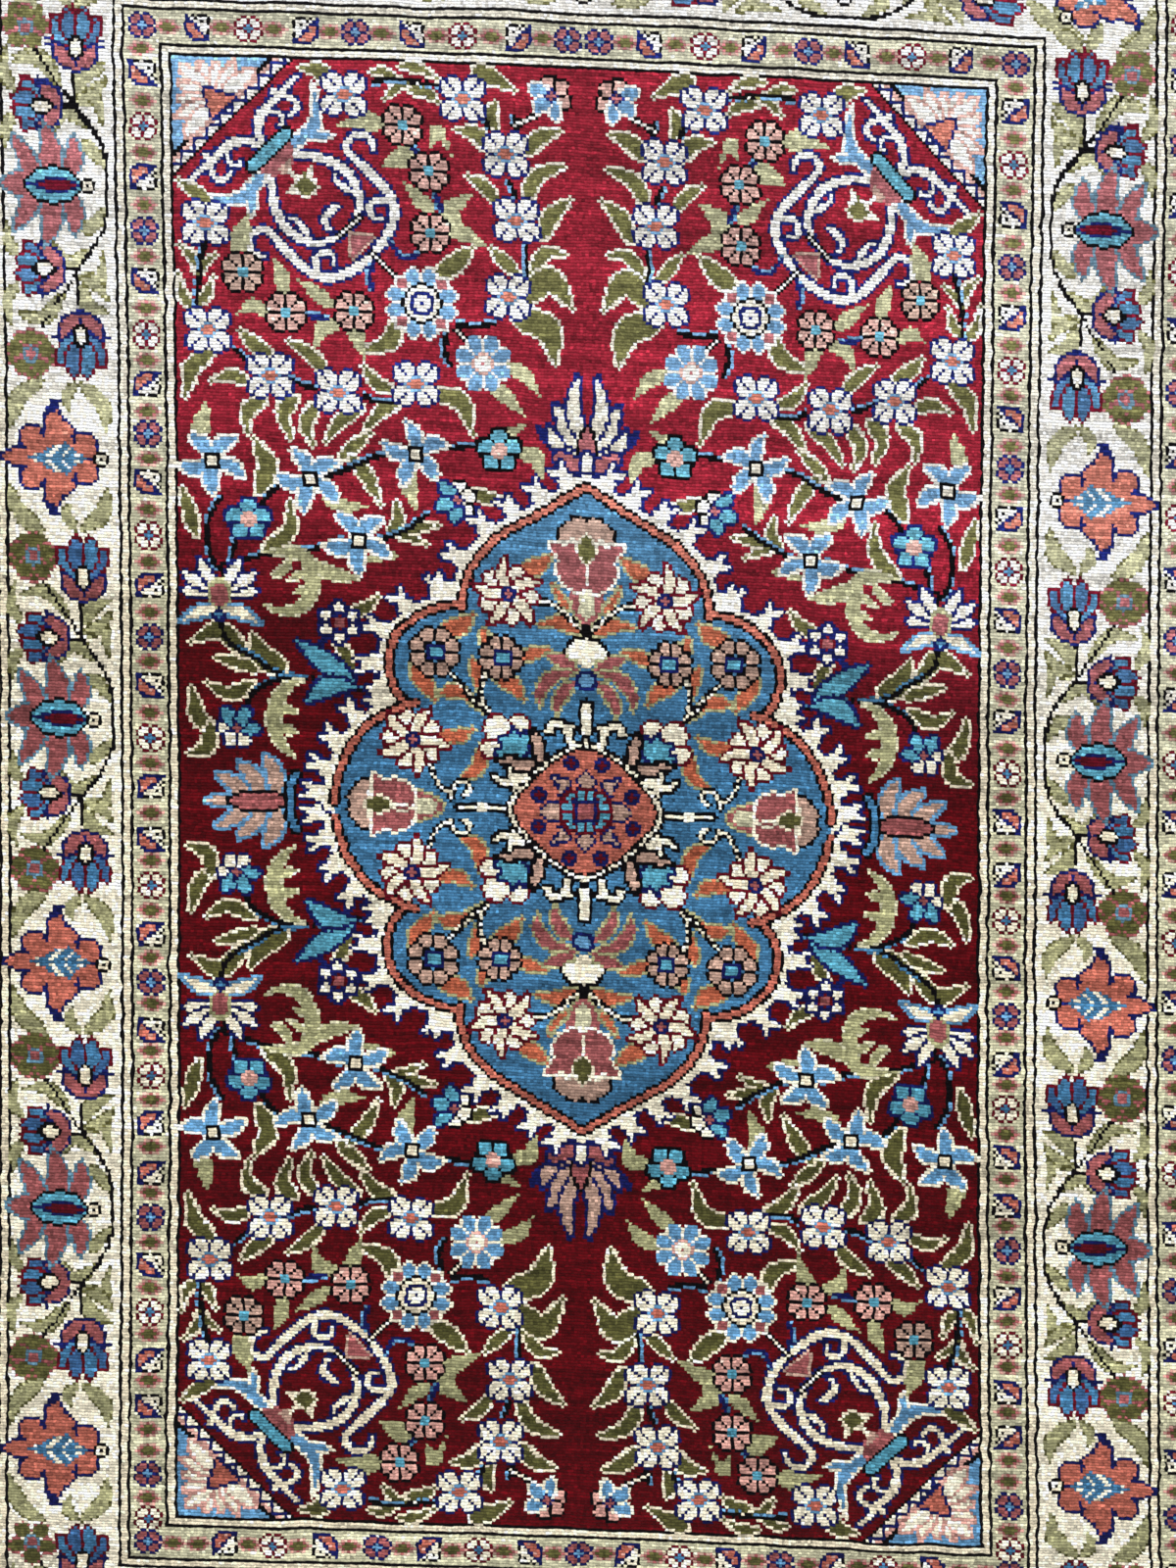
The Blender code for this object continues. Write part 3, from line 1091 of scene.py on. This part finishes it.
def coral_palmette(chart, at):
    """The border's coral palmette: round and pointed lobes round a blue flame with a white rim."""
    shapes = [petal([at(6, 0), at(11, 0), at(17.5, 0)], 3.0, 0.75)]
    for side in (-1, 1):
        shapes += [lobe(*at(a, side * b), across) for a, b, across in CORAL_LOBES]
        shapes.append(petal([at(0, 7 * side), at(1, 12 * side), at(1.4, 17 * side)], 2.4, 0.75))
    joined(chart, shapes, "salmon", "navy", 1.05)
    for side in (-1, 1):
        line(chart, [at(1.6, 15.4 * side), at(1.6, 17.4 * side), at(-0.8, 17.8 * side)], "navy", 1.5)
        line(chart, [at(3.6, 9.8 * side), at(4.4, 6.4 * side)], "navy", 0.9)
        line(chart, [at(-5.4, 7 * side), at(-6.2, 4.8 * side)], "navy", 0.9)
    middle = np.array(at(0, 0), float)
    ahead = np.array(at(1, 0), float) - middle
    aside = np.array(at(0, 1), float) - middle
    place, u, v = chart.window(middle[0] - 12, middle[0] + 12, middle[1] - 12, middle[1] + 12)
    a = (u - middle[0]) * ahead[0] + (v - middle[1]) * ahead[1]
    b = np.abs((u - middle[0]) * aside[0] + (v - middle[1]) * aside[1])
    reach = np.interp(a, (-9.5, -7, -3, 1.5, 5, 9), (0.6, 1.6, 5.2, 4.0, 2.0, 0.5))
    flame = (a > -9.6) & (a < 9.4) & (b < reach)
    chart.dye(place, flame, "white")
    chart.dye(place, flame & ((((a + b) % 4.6) < 3.0) | (b < 0.6)), "azure")
    worked(chart, *at(-14, 0), RING)


def blue_tulip(chart, at, long):
    """The border's blue tulip over a rose base, with a light seed."""
    for side, outer, inner in ((-1, "denim", "azure"), (1, "azure", "denim")):
        points = [at(0, 3.2 * side), at(0.4 * long, 5.4 * side), at(0.72 * long, 7.4 * side)]
        leaf(chart, points, 1.9, outer, "maroon", 0.9, 0.95)
        points = [at(1, 1.2 * side), at(0.55 * long, 2.3 * side), at(long, 1.8 * side)]
        leaf(chart, points, 2.1, inner, "maroon", 0.9, 1.1)
    base = [[at(-7.5, -0.5 * side), at(-4, 3.6 * side), at(1, 6.8 * side)] for side in (-1, 1)]
    joined(chart, [petal(points, 1.9, 1.15) for points in base], "rose", "navy", 0.95)
    for side in (-1, 1):
        line(chart, [at(0.6, 8.6 * side), at(0.6, 6.8 * side)], "navy", 1.1)
    leaf(chart, [at(-3, 0), at(2.8, 0)], 1.8, "cream", "black", 1.1, 1.0)


def green_flower(chart, u, v):
    """The border's soft green flower in its rose edge."""
    for step in range(5):
        at = spot(u, v, 5.0, 90 + 72 * step)
        disc(chart, *at, 6.0, "rose")
        disc(chart, *at, 4.9, "olive")
    for across, silk in ((5.6, "slate"), (3.4, "rose")):
        disc(chart, u, v, across, silk)


# Half of a border repeat, along the border from the rose palmette, and across the rug.
BORDER_LEAVES = (
    # base, bend, tip, half width
    ((7, 150), (13, 155), (9, 159), 1.85),
    ((20, 155), (24, 161), (18, 166), 1.95),
    ((27, 157), (29, 152), (20, 150), 1.85),
    ((28, 158), (31, 152), (35, 149), 1.55),
    ((31, 158), (36, 155.5), (39, 149), 2.35),
    ((33, 163), (41, 170), (40, 178), 2.05),
    ((31, 178), (36, 181), (44, 180), 1.65),
    ((22, 178), (18, 180.5), (12, 181), 1.65),
    ((60, 171), (66, 178), (75, 181), 2.65),
    ((61, 158), (67, 151.5), (75, 150), 2.45),
    ((61, 160), (65, 163), (69, 162), 1.65),
)
BORDER_STEMS = (
    # route, width
    (((-1, 148.8), (4, 149), (12, 150), (19, 153.5), (26, 159)), 1.3),
    (((26, 158), (26, 164)), 1.1),
    (((26, 159), (33, 159), (40, 158)), 1.1),
    (((27, 159.5), (37, 166), (46, 172)), 1.1),
)
# How long that half is as it is drawn, and as it is at the chart's last palmette, and its palmettes' middle.
REPEAT = 84
LAST_REPEAT = 81
BORDER_MIDDLE = 166


def arm(chart, at):
    """Half of a border repeat, from a rose palmette to the next coral one, along and across the border."""
    for *points, wide in BORDER_LEAVES:
        leaf(chart, [at(*point) for point in points], wide, "sage", "olive", 0.35)
    for route, wide in BORDER_STEMS:
        line(chart, [at(*point) for point in route], "black", wide)
    green_flower(chart, *at(52, 174))
    blue_tulip(chart, lambda a, b: at(46 + a, 158 + b), 12.5)
    blue_tulip(chart, lambda a, b: at(26 + b, 169.5 + 0.85 * a), 10)


def main_border(chart):
    """The wide border of one quarter: its side, its corner and its end."""
    coral = sorted(chart.up * v for v in CORAL_PALMETTES)
    for v in (chart.up * v for v in ROSE_PALMETTES):
        for turn in (-1, 1):
            ways = [abs(other - v) for other in coral + [CORNER_V] if (other - v) * turn > 0]
            stretch = min(ways, default=LAST_REPEAT) / REPEAT
            arm(chart, lambda p, q, v=v, turn=turn, k=stretch: (q, v + turn * p * k))
        rose_palmette(chart, lambda a, b, v=v: (BORDER_MIDDLE + a, v + b))
    for v in coral:
        coral_palmette(chart, lambda a, b, v=v: (BORDER_MIDDLE + a, v + b))
    shift = FIELD_V - FIELD_U
    half = CORNER / 2
    for turn in (-1, 1):
        arm(chart, lambda p, q, turn=turn: (half + turn * p * (half / REPEAT), q + shift))
    rose_palmette(chart, lambda a, b: (round(half) + b, BORDER_MIDDLE + shift + a))
    coral_palmette(chart, lambda a, b: (b, BORDER_MIDDLE + shift + a))
    if chart.up < 0:
        last = -min(CORAL_PALMETTES)
        arm(chart, lambda p, q: (q, last + REPEAT - p))
    slant = math.sqrt(0.5)
    coral_palmette(chart, lambda a, b: (CORNER - 1 + (a - b) * slant, CORNER_V - 1 + (a + b) * slant))


def guards(chart):
    """The two narrow bands of one quarter, either side of the main border."""
    middle = -5 * chart.up
    side, end, first = (FAR_SIDE, FAR_END, 4.6) if chart.up > 0 else (NEAR_SIDE, NEAR_END, 0)
    guard(chart, GUARD_MIDDLE, side, middle, FIELD_V + GUARD_MIDDLE, True)
    guard(chart, GUARD_MIDDLE, end, first, FIELD_U + GUARD_MIDDLE, False)
    guard(chart, OUTER_GUARD, FAR_SIDE, middle, FIELD_V + OUTER_GUARD, True)
    guard(chart, OUTER_GUARD, OUTER_END, 0, FIELD_U + OUTER_GUARD, False)


def weave():
    """The right half of the whole chart."""
    knots = np.full((2 * HALF_V + 1, HALF_U + 1), NUMBER["crimson"], np.uint8)
    rings(knots)
    for up in (-1, 1):
        main_border(Chart(knots, up))
        guards(Chart(knots, up))
        field(Chart(knots, up))
    for up in (-1, 1):
        medallion(Chart(knots, up))
    for up in (-1, 1):
        side_palmette(Chart(knots, up), 100, 0)
    return knots


# The cloth: one knot, and how the rug lies out of square. These repeat the solid's own sizes.
KNOT = 0.002
END_ROWS_CLOSER = 0.92
CORD_WIDE = 0.005
WEB_LONG = 0.006
PILE_HIGH = 0.005
CORD_HIGH = 0.0034
WEB_HIGH = 0.0016
SKEW = 0.041
SKEW_GAIN = 0.0037
ROW_BOW = 0.0022
LOOSE_ROWS = 0.0086
NARROWEST = -0.0040
WIDENS = 0.0076
FLARES = 0.0153
WAVES = (
    # wavelength, height, slant
    (0.260, 0.00035, 0.30),
    (0.147, 0.00025, -0.45),
    (0.091, 0.00015, 0.20),
)
WAVES_FADE = 0.060
# The pile's rounded rim: how high the pile stands near its edge, and how low the outermost knots are tucked.
RIM_INSIDE = (0, 0.0015, 0.005)
RIM_HIGH = (0.80 * PILE_HIGH, 0.96 * PILE_HIGH, PILE_HIGH)
RIM_TUCKED = 0.0012
# The back lies just over the floor, and its knots are duller than the pile.
BACK_HIGH = 0.0003
BACK_DULLER = 0.8
# The rows either side of the middle at which the field's pile is parted into three pieces.
SEAM = 116
# The side cords and end webs: how many steps each has along it, the thread's breadth, and its colour.
CORD_FINISH = (620, 0.0016, SILKS["maroon"][1])
WEB_FINISH = (410, 0.0012, (216, 206, 184))
# How unevenly they are worked: a wander along them, and how much of it goes into their breadth and height.
WOBBLE = 0.00018
SWELLS_OUT = 40
SWELLS_UP = 60

# The middle warps wander sideways: how far at shares of the field's half length.
WANDER_AT = (-1.0, -0.69, 0.0, 0.69, 1.0)
WANDER_BY = (0.0, 0.0, 0.0045, 0.0058, 0.0032)

FIELD_WIDE = (FIELD_U + 0.5) * KNOT
FIELD_LONG = (FIELD_V + 0.5) * KNOT
PILE_WIDE = FIELD_WIDE + BORDER * KNOT
PILE_LONG = FIELD_LONG + BORDER * KNOT * END_ROWS_CLOSER


def as_it_lies(x, y):
    """Where points of the squared-up rug lie on the real one."""
    across = np.clip(x / FIELD_WIDE, -1, 1)
    along = y / FIELD_LONG
    held = np.clip(along, -1, 1)
    wider = NARROWEST + WIDENS * held + FLARES * held * held
    inner = 1 - across * across
    x_lies = x + wider * across * FIELD_WIDE + np.interp(along, WANDER_AT, WANDER_BY) * inner
    y_lies = y + LOOSE_ROWS * along * along - (SKEW + SKEW_GAIN * along) * x + ROW_BOW * inner
    return x_lies, y_lies


def middle_of_outline():
    """The middle of the rug's outline, which the frame has over its origin."""
    x, y = np.meshgrid(
        np.linspace(-PILE_WIDE - CORD_WIDE, PILE_WIDE + CORD_WIDE, 61),
        np.linspace(-PILE_LONG - WEB_LONG, PILE_LONG + WEB_LONG, 61),
    )
    x, y = as_it_lies(x, y)
    return (x.min() + x.max()) / 2, (y.min() + y.max()) / 2


def from_knots(u, v):
    """Metres across and along the squared-up rug, from places counted in knots."""
    beyond = np.maximum(np.abs(v) - FIELD_V - 0.5, 0)
    along = np.sign(v) * (np.abs(v) - beyond + beyond * END_ROWS_CLOSER)
    return u * KNOT, along * KNOT


def waves(x, y, inside):
    """The low waves in the lie of the cloth."""
    fade = np.clip(inside / WAVES_FADE, 0, 1)
    total = sum(high * np.sin(2 * math.pi * (y + slant * x) / length) for length, high, slant in WAVES)
    return fade * total


def eased(share):
    """A share from 0 to 1 that starts and ends gently."""
    return share * share * (3 - 2 * share)


def drift(rows, columns, tall, wide, far):
    """A slow random wander over the knots: how many rows and columns it takes, and how far it goes."""
    coarse = BUMPS.normal(0, far, (rows // tall + 3, columns // wide + 3))
    down, across = np.arange(rows) / tall, np.arange(columns) / wide
    row, column = down.astype(int), across.astype(int)
    down, across = eased(down - row)[:, None], eased(across - column)
    upper = coarse[row][:, column] * (1 - across) + coarse[row][:, column + 1] * across
    lower = coarse[row + 1][:, column] * (1 - across) + coarse[row + 1][:, column + 1] * across
    return upper * (1 - down) + lower * down


MIDDLE = middle_of_outline()
BUMPS = np.random.default_rng(41)
ROWS = 2 * HALF_V + 1
COLUMNS = 2 * HALF_U + 1
# How unevenly the knots sit: sideways, along, and in height, at each corner between four knots.
UNEVEN_ACROSS = BUMPS.normal(0, 0.16, (ROWS + 1, COLUMNS + 1)) + drift(ROWS + 1, COLUMNS + 1, 4, 9, 0.20)
UNEVEN_ALONG = BUMPS.normal(0, 0.08, (ROWS + 1, COLUMNS + 1)) + drift(ROWS + 1, COLUMNS + 1, 11, 9, 0.22)
UNEVEN_HIGH = BUMPS.normal(0, 0.00012, (ROWS + 1, COLUMNS + 1))
# Streaks by their length in knots and stripes by their breadth in rows, partly patchy dye and partly painted
# sheen of rows that lie differently; clouds by both, painted shade where the pile is bent; and knot by knot,
# random tone with painted glints.
STREAKS = ((5, 0.12), (16, 0.07), (50, 0.07), (140, 0.06))
STRIPES = ((1, 0.06), (7, 0.05), (23, 0.05))
PAINTED_SHADE_CLOUDS = ((3, 22, 0.13), (9, 55, 0.10))
KNOT_TONE_AND_GLINTS = 0.24
LIGHTEST = 0.95


def linear(colour):
    """A daylight colour as the shares of light it gives back."""
    share = np.array(colour) / 255
    return np.where(share <= 0.04045, share / 12.92, ((share + 0.055) / 1.055) ** 2.4)


def knot_colours(knots):
    """The colour of every knot: its silk, lighter towards the far end with painted sheen, with streaks of
    patchy dye and painted sheen along the rows, clouds of painted shade, and painted glints knot by knot.
    """
    # Painted sheen: each silk's near colour gives way to its lighter far colour along the rug.
    deep, pale = (linear([SILKS[name][sheen_end] for name in NAMES])[knots] for sheen_end in (0, 1))
    row, column = np.mgrid[-HALF_V:HALF_V + 1, -HALF_U:HALF_U + 1]
    first, last = SHEEN_ROWS
    share = eased(np.clip((row + SHEEN_SLANT * column - first) / (last - first), 0, 1))[..., None]
    colours = deep * (1 - share) + pale * share
    dye_and_painted_light = np.zeros(knots.shape)
    # Streaks and stripes along the rows: partly patchy dye, partly painted sheen of rows that lie
    # differently.
    for long, strength in STREAKS:
        coarse = BUMPS.normal(0, strength, (ROWS, COLUMNS // long + 3))
        at = np.arange(COLUMNS) / long
        low = at.astype(int)
        share = eased(at - low)
        dye_and_painted_light += coarse[:, low] * (1 - share) + coarse[:, low + 1] * share
    for wide, strength in STRIPES:
        rows = BUMPS.normal(0, strength, ROWS // wide + 2)
        dye_and_painted_light += np.interp(np.arange(ROWS) / wide, np.arange(len(rows)), rows)[:, None]
    # Painted shade: darker clouds where the pile is bent.
    for tall, wide, strength in PAINTED_SHADE_CLOUDS:
        dye_and_painted_light += drift(ROWS, COLUMNS, tall, wide, strength)
    # Knot by knot: random tone, with painted glints.
    dye_and_painted_light += BUMPS.normal(0, KNOT_TONE_AND_GLINTS, knots.shape)
    return np.clip(colours * np.exp(dye_and_painted_light)[..., None], 0, LIGHTEST)


def triples(items, name):
    """A value of three numbers for each vertex or face of a mesh."""
    values = np.empty(len(items) * 3)
    items.foreach_get(name, values)
    return values.reshape(-1, 3)


def grid(name, columns, rows):
    """A flat grid of faces, with the column and row of each vertex and of each face."""
    shape = bmesh.new()
    bmesh.ops.create_grid(shape, x_segments=columns, y_segments=rows, size=0.5)
    mesh = bpy.data.meshes.new(name)
    shape.to_mesh(mesh)
    shape.free()
    corners = (triples(mesh.vertices, "co")[:, :2] + 0.5) * (columns, rows)
    middles = (triples(mesh.polygons, "center")[:, :2] + 0.5) * (columns, rows)
    return mesh, *np.rint(corners).astype(int).T, *np.floor(middles).astype(int).T


def lay(mesh, x, y, z):
    """Puts the vertices of a squared-up mesh where they lie on the real rug."""
    x, y = as_it_lies(x, y)
    mesh.vertices.foreach_set("co", np.stack([x - MIDDLE[0], y - MIDDLE[1], z], axis=1).ravel())
    mesh.update()


def add_uv(mesh, name, across, along):
    """A UV map from a value at each vertex."""
    corners = np.empty(len(mesh.loops), int)
    mesh.loops.foreach_get("vertex_index", corners)
    layer = mesh.uv_layers.new(name=name)
    layer.data.foreach_set("uv", np.stack([across[corners], along[corners]], axis=1).ravel())


def add_face_colour(mesh, colours):
    """The colour of each face, with any painted sheen, shade and glints in it, as an attribute that the
    silk's material reads.
    """
    layer = mesh.attributes.new("dye", "FLOAT_COLOR", "FACE")
    layer.data.foreach_set("color", np.concatenate([colours, np.ones((len(colours), 1))], axis=1).ravel())


def placed(name, mesh, material):
    """A new piece of the rug, riding on it."""
    piece = bpy.data.objects.new(name, mesh)
    piece.data.materials.append(material)
    bpy.context.scene.collection.objects.link(piece)
    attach(piece, "root")
    return piece


def pile_piece(name, colours, low_u, high_u, low_v, high_v, material):
    """A part of the pile with one face to a knot, between two columns and two rows."""
    columns, rows = high_u - low_u + 1, high_v - low_v + 1
    mesh, vertex_column, vertex_row, face_column, face_row = grid(name, columns, rows)
    first_column, first_row = low_u + HALF_U, low_v + HALF_V
    at_column, at_row = vertex_column + first_column, vertex_row + first_row
    rim = (at_column == 0) | (at_column == COLUMNS) | (at_row == 0) | (at_row == ROWS)
    loose = np.where(rim, 0.0, 1.0)
    u = at_column - HALF_U - 0.5 + loose * UNEVEN_ACROSS[at_row, at_column]
    v = at_row - HALF_V - 0.5 + loose * UNEVEN_ALONG[at_row, at_column]
    x, y = from_knots(u, v)
    inside = np.minimum(PILE_WIDE - np.abs(x), PILE_LONG - np.abs(y))
    high = np.interp(inside, RIM_INSIDE, RIM_HIGH)
    z = high + waves(x, y, inside) + loose * UNEVEN_HIGH[at_row, at_column]
    lay(mesh, x, y, np.where(rim, RIM_TUCKED, z))
    add_uv(mesh, "OFBake", vertex_column / columns, vertex_row / rows)
    add_uv(mesh, "knots", at_column.astype(float), at_row.astype(float))
    add_face_colour(mesh, colours[face_row + first_row, face_column + first_column])
    return placed(name, mesh, material)


def back_piece(colours, material):
    """The woven back, where the knots show smaller and duller, one face to four of them."""
    columns, rows = COLUMNS // 2, ROWS // 2
    mesh, vertex_column, vertex_row, face_column, face_row = grid("back", columns, rows)
    u = vertex_column / columns * COLUMNS - HALF_U - 0.5
    v = vertex_row / rows * ROWS - HALF_V - 0.5
    x, y = from_knots(u, v)
    lay(mesh, x, y, np.full(len(x), BACK_HIGH))
    mesh.flip_normals()
    add_uv(mesh, "OFBake", vertex_column / columns, vertex_row / rows)
    add_uv(mesh, "knots", vertex_column * 2.0, vertex_row * 2.0)
    add_face_colour(mesh, BACK_DULLER * colours[face_row * 2 + 1, face_column * 2 + 1])
    return placed("back", mesh, material)


def edging(name, side, section, finish, material):
    """A finished edge of the rug: a closed section, as outward and upward places, run along one side."""
    steps, thread, colour = finish
    turns = len(section)
    mesh, turn, step, _, face_step = grid(name, turns, steps)
    out, high = np.array(section + section[:1]).T
    wobble = np.convolve(BUMPS.normal(0, WOBBLE, steps + 1), np.ones(5) / 5, "same") * 2
    tips = (step == 0) | (step == steps)
    out_here = np.where(tips, out.mean(), out[turn] * (1 + SWELLS_OUT * wobble[step]))
    high_here = np.where(tips, high.mean(), high[turn] * (1 + SWELLS_UP * wobble[::-1][step]))
    run = 2 * step / steps - 1
    if side in ("left", "right"):
        long = 2 * PILE_LONG
        x, y = PILE_WIDE + out_here, run * (PILE_LONG + 0.001)
        x = x if side == "right" else -x
    else:
        long = 2 * PILE_WIDE
        x, y = run * (PILE_WIDE + 0.9 * CORD_WIDE), PILE_LONG + out_here
        y = y if side == "far" else -y
    lay(mesh, x, y, high_here)
    if side in ("left", "far"):
        mesh.flip_normals()
    round_section = np.concatenate([[0], np.cumsum(np.hypot(np.diff(out), np.diff(high)))])
    add_uv(mesh, "OFBake", turn / turns, step / steps)
    add_uv(mesh, "knots", round_section[turn] / thread, step / steps * long / thread)
    shades = np.exp(BUMPS.normal(0, 0.06, steps))[face_step]
    add_face_colour(mesh, linear(colour) * shades[:, None])
    return placed(name, mesh, material)


def cord_section():
    """The side cord's section: a flattened round."""
    turns = np.linspace(0, 2 * math.pi, 14, endpoint=False)
    wide, tall = CORD_WIDE / 2 + 0.0001, CORD_HIGH / 2
    return [(CORD_WIDE / 2 - 0.0001 + wide * math.cos(turn), tall * (1 + math.sin(turn))) for turn in turns]


def web_section():
    """The end web's section: a thin flat strip with a turned edge."""
    top, under = WEB_HIGH, 0.0001
    across = (-0.0004, 0.0010, 0.0022, 0.0034, 0.0046, 0.0056)
    upper = [(out, top) for out in across] + [(WEB_LONG, 0.6 * top)]
    return upper[::-1] + [(out, under) for out in across]


def silk(name, sideways):
    """Silk or cotton in rows of knots or wraps, with painted shade in the dips between them and painted
    highlights on their tops: sideways says how deep the dips between them are.
    """
    material = bpy.data.materials.new(name)
    material.use_nodes = True
    nodes, links = material.node_tree.nodes, material.node_tree.links
    shader = nodes["Principled BSDF"]
    shader.inputs["Roughness"].default_value = 0.42
    shader.inputs["Specular IOR Level"].default_value = 0.06
    shader.inputs["Sheen Weight"].default_value = 0.04
    shader.inputs["Sheen Roughness"].default_value = 0.35
    # The dye attribute holds the faces' colours, with the knots' painted sheen, shade and glints.
    dye = nodes.new("ShaderNodeAttribute")
    dye.attribute_type = "GEOMETRY"
    dye.attribute_name = "dye"
    where = nodes.new("ShaderNodeUVMap")
    where.uv_map = "knots"
    parts = nodes.new("ShaderNodeSeparateXYZ")
    links.new(where.outputs["UV"], parts.inputs[0])

    def maths(kind, *values):
        """A sum of one or two values, each a number or another node's output."""
        node = nodes.new("ShaderNodeMath")
        node.operation = kind
        for socket, value in zip(node.inputs, values):
            if isinstance(value, (int, float)):
                socket.default_value = value
            else:
                links.new(value, socket)
        return node.outputs[0]

    def noise(scale, detail, place):
        """A noise over the knots."""
        node = nodes.new("ShaderNodeTexNoise")
        node.inputs["Scale"].default_value = scale
        node.inputs["Detail"].default_value = detail
        links.new(place, node.inputs["Vector"])
        return node.outputs["Fac"]

    def ridges(place, fullness):
        """A ridge to each knot along one way, a little out of line, and full for a low power."""
        wave = maths("SINE", maths("MULTIPLY", maths("ADD", place, shift), math.pi))
        return maths("POWER", maths("ABSOLUTE", wave), fullness)

    shift = maths("MULTIPLY", maths("SUBTRACT", noise(1.7, 3.0, where.outputs["UV"]), 0.5), 1.1)
    rib = ridges(parts.outputs["Y"], 0.6)
    tuft = maths("ADD", maths("MULTIPLY", ridges(parts.outputs["X"], 0.5), sideways), 1 - sideways)
    relief = maths("MULTIPLY", rib, tuft)
    stretch = nodes.new("ShaderNodeMapping")
    stretch.inputs["Scale"].default_value = (2.2, 0.8, 1.0)
    links.new(where.outputs["UV"], stretch.inputs["Vector"])
    strands = noise(3.5, 4.0, stretch.outputs["Vector"])
    bump = nodes.new("ShaderNodeBump")
    bump.inputs["Strength"].default_value = 0.8
    bump.inputs["Distance"].default_value = 0.0006
    links.new(maths("ADD", relief, maths("MULTIPLY", strands, 0.5)), bump.inputs["Height"])
    links.new(bump.outputs["Normal"], shader.inputs["Normal"])
    # Painted shade and highlight: the base colour is darker in the dips between rows and tufts and lighter on
    # the knots' tops, with painted sheen along the strands.
    painted_shade = maths("ADD", maths("MULTIPLY", relief, 0.75), 0.45)
    painted_shade = maths("MULTIPLY", painted_shade, maths("ADD", maths("MULTIPLY", strands, 1.6), 0.28))
    colour = nodes.new("ShaderNodeVectorMath")
    colour.operation = "SCALE"
    links.new(dye.outputs["Color"], colour.inputs[0])
    links.new(painted_shade, colour.inputs["Scale"])
    links.new(colour.outputs[0], shader.inputs["Base Color"])
    return material


def whole_rug():
    """All pieces of the one cloth: the pile in seven parts, the side cords, the end webs and the back."""
    knotted = silk("silk_pile_knotted", 0.3)
    right = weave()
    colours = knot_colours(np.concatenate([right[:, :0:-1], right], axis=1))
    pieces = [pile_piece(name, colours, *between, knotted) for name, between in (
        # piece, columns from and to, rows from and to
        ("pile_centre", (-FIELD_U, FIELD_U, -SEAM, SEAM)),
        ("pile_far", (-FIELD_U, FIELD_U, SEAM + 1, FIELD_V)),
        ("pile_near", (-FIELD_U, FIELD_U, -FIELD_V, -SEAM - 1)),
        ("border_far", (-FIELD_U, FIELD_U, FIELD_V + 1, HALF_V)),
        ("border_near", (-FIELD_U, FIELD_U, -HALF_V, -FIELD_V - 1)),
        ("border_left", (-HALF_U, -FIELD_U - 1, -HALF_V, HALF_V)),
        ("border_right", (FIELD_U + 1, HALF_U, -HALF_V, HALF_V)),
    )]
    overcast = silk("silk_overcast", 0.1)
    plain_weave = silk("cotton_web", 0.8)
    for side in ("left", "right"):
        pieces.append(edging("cord_" + side, side, cord_section(), CORD_FINISH, overcast))
    for side in ("far", "near"):
        pieces.append(edging("web_" + side, side, web_section(), WEB_FINISH, plain_weave))
    back = back_piece(colours, knotted)
    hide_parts("rug")


def pale_floor():
    """A plain pale floor."""
    mesh = bpy.data.meshes.new("floor")
    shape = bmesh.new()
    bmesh.ops.create_grid(shape, x_segments=1, y_segments=1, size=30)
    shape.to_mesh(mesh)
    shape.free()
    floor = bpy.data.objects.new("floor", mesh)
    bpy.context.scene.collection.objects.link(floor)
    plain = bpy.data.materials.new("floor_plain")
    plain.use_nodes = True
    plain.node_tree.nodes["Principled BSDF"].inputs["Base Color"].default_value = (0.62, 0.61, 0.59, 1)
    plain.node_tree.nodes["Principled BSDF"].inputs["Roughness"].default_value = 0.8
    mesh.materials.append(plain)


def studio_light():
    """Soft light from three sides, and a faint light from all round."""
    world = bpy.data.worlds.new("studio")
    bpy.context.scene.world = world
    world.use_nodes = True
    world.node_tree.nodes["Background"].inputs["Color"].default_value = (0.9, 0.94, 1.0, 1)
    world.node_tree.nodes["Background"].inputs["Strength"].default_value = 0.2
    for name, toward, low, wide, power in (
        # where it stands round the rug, how high, how broad a light it is, and its strength
        ("window", 84, 42, 50, 2.3),
        ("side", 200, 36, 40, 1.1),
        ("near", 300, 34, 40, 0.9),
    ):
        light = bpy.data.lights.new(name, "SUN")
        light.angle = math.radians(wide)
        light.energy = power
        lamp = bpy.data.objects.new(name, light)
        lamp.rotation_euler = (0.0, math.radians(90 - low), math.radians(toward))
        bpy.context.scene.collection.objects.link(lamp)


# The photograph takes in 0.75 by 1.0 m of the rug, from straight above a place a little off its middle.
SEEN_LONG = 1.0
SEEN_FROM = (0.0059, 0.020, 0.86)
SENSOR = 36


def camera_above():
    """The camera that takes in what the photograph does."""
    across, along, high = SEEN_FROM
    camera = bpy.data.cameras.new("camera")
    camera.sensor_fit = "AUTO"
    camera.sensor_width = SENSOR
    camera.lens = SENSOR * high / SEEN_LONG
    eye = bpy.data.objects.new("camera", camera)
    eye.location = (across - MIDDLE[0], along - MIDDLE[1], PILE_HIGH + high)
    bpy.context.scene.collection.objects.link(eye)
    bpy.context.scene.camera = eye


whole_rug()
pale_floor()
studio_light()
camera_above()
bpy.context.scene.view_settings.view_transform = "Standard"
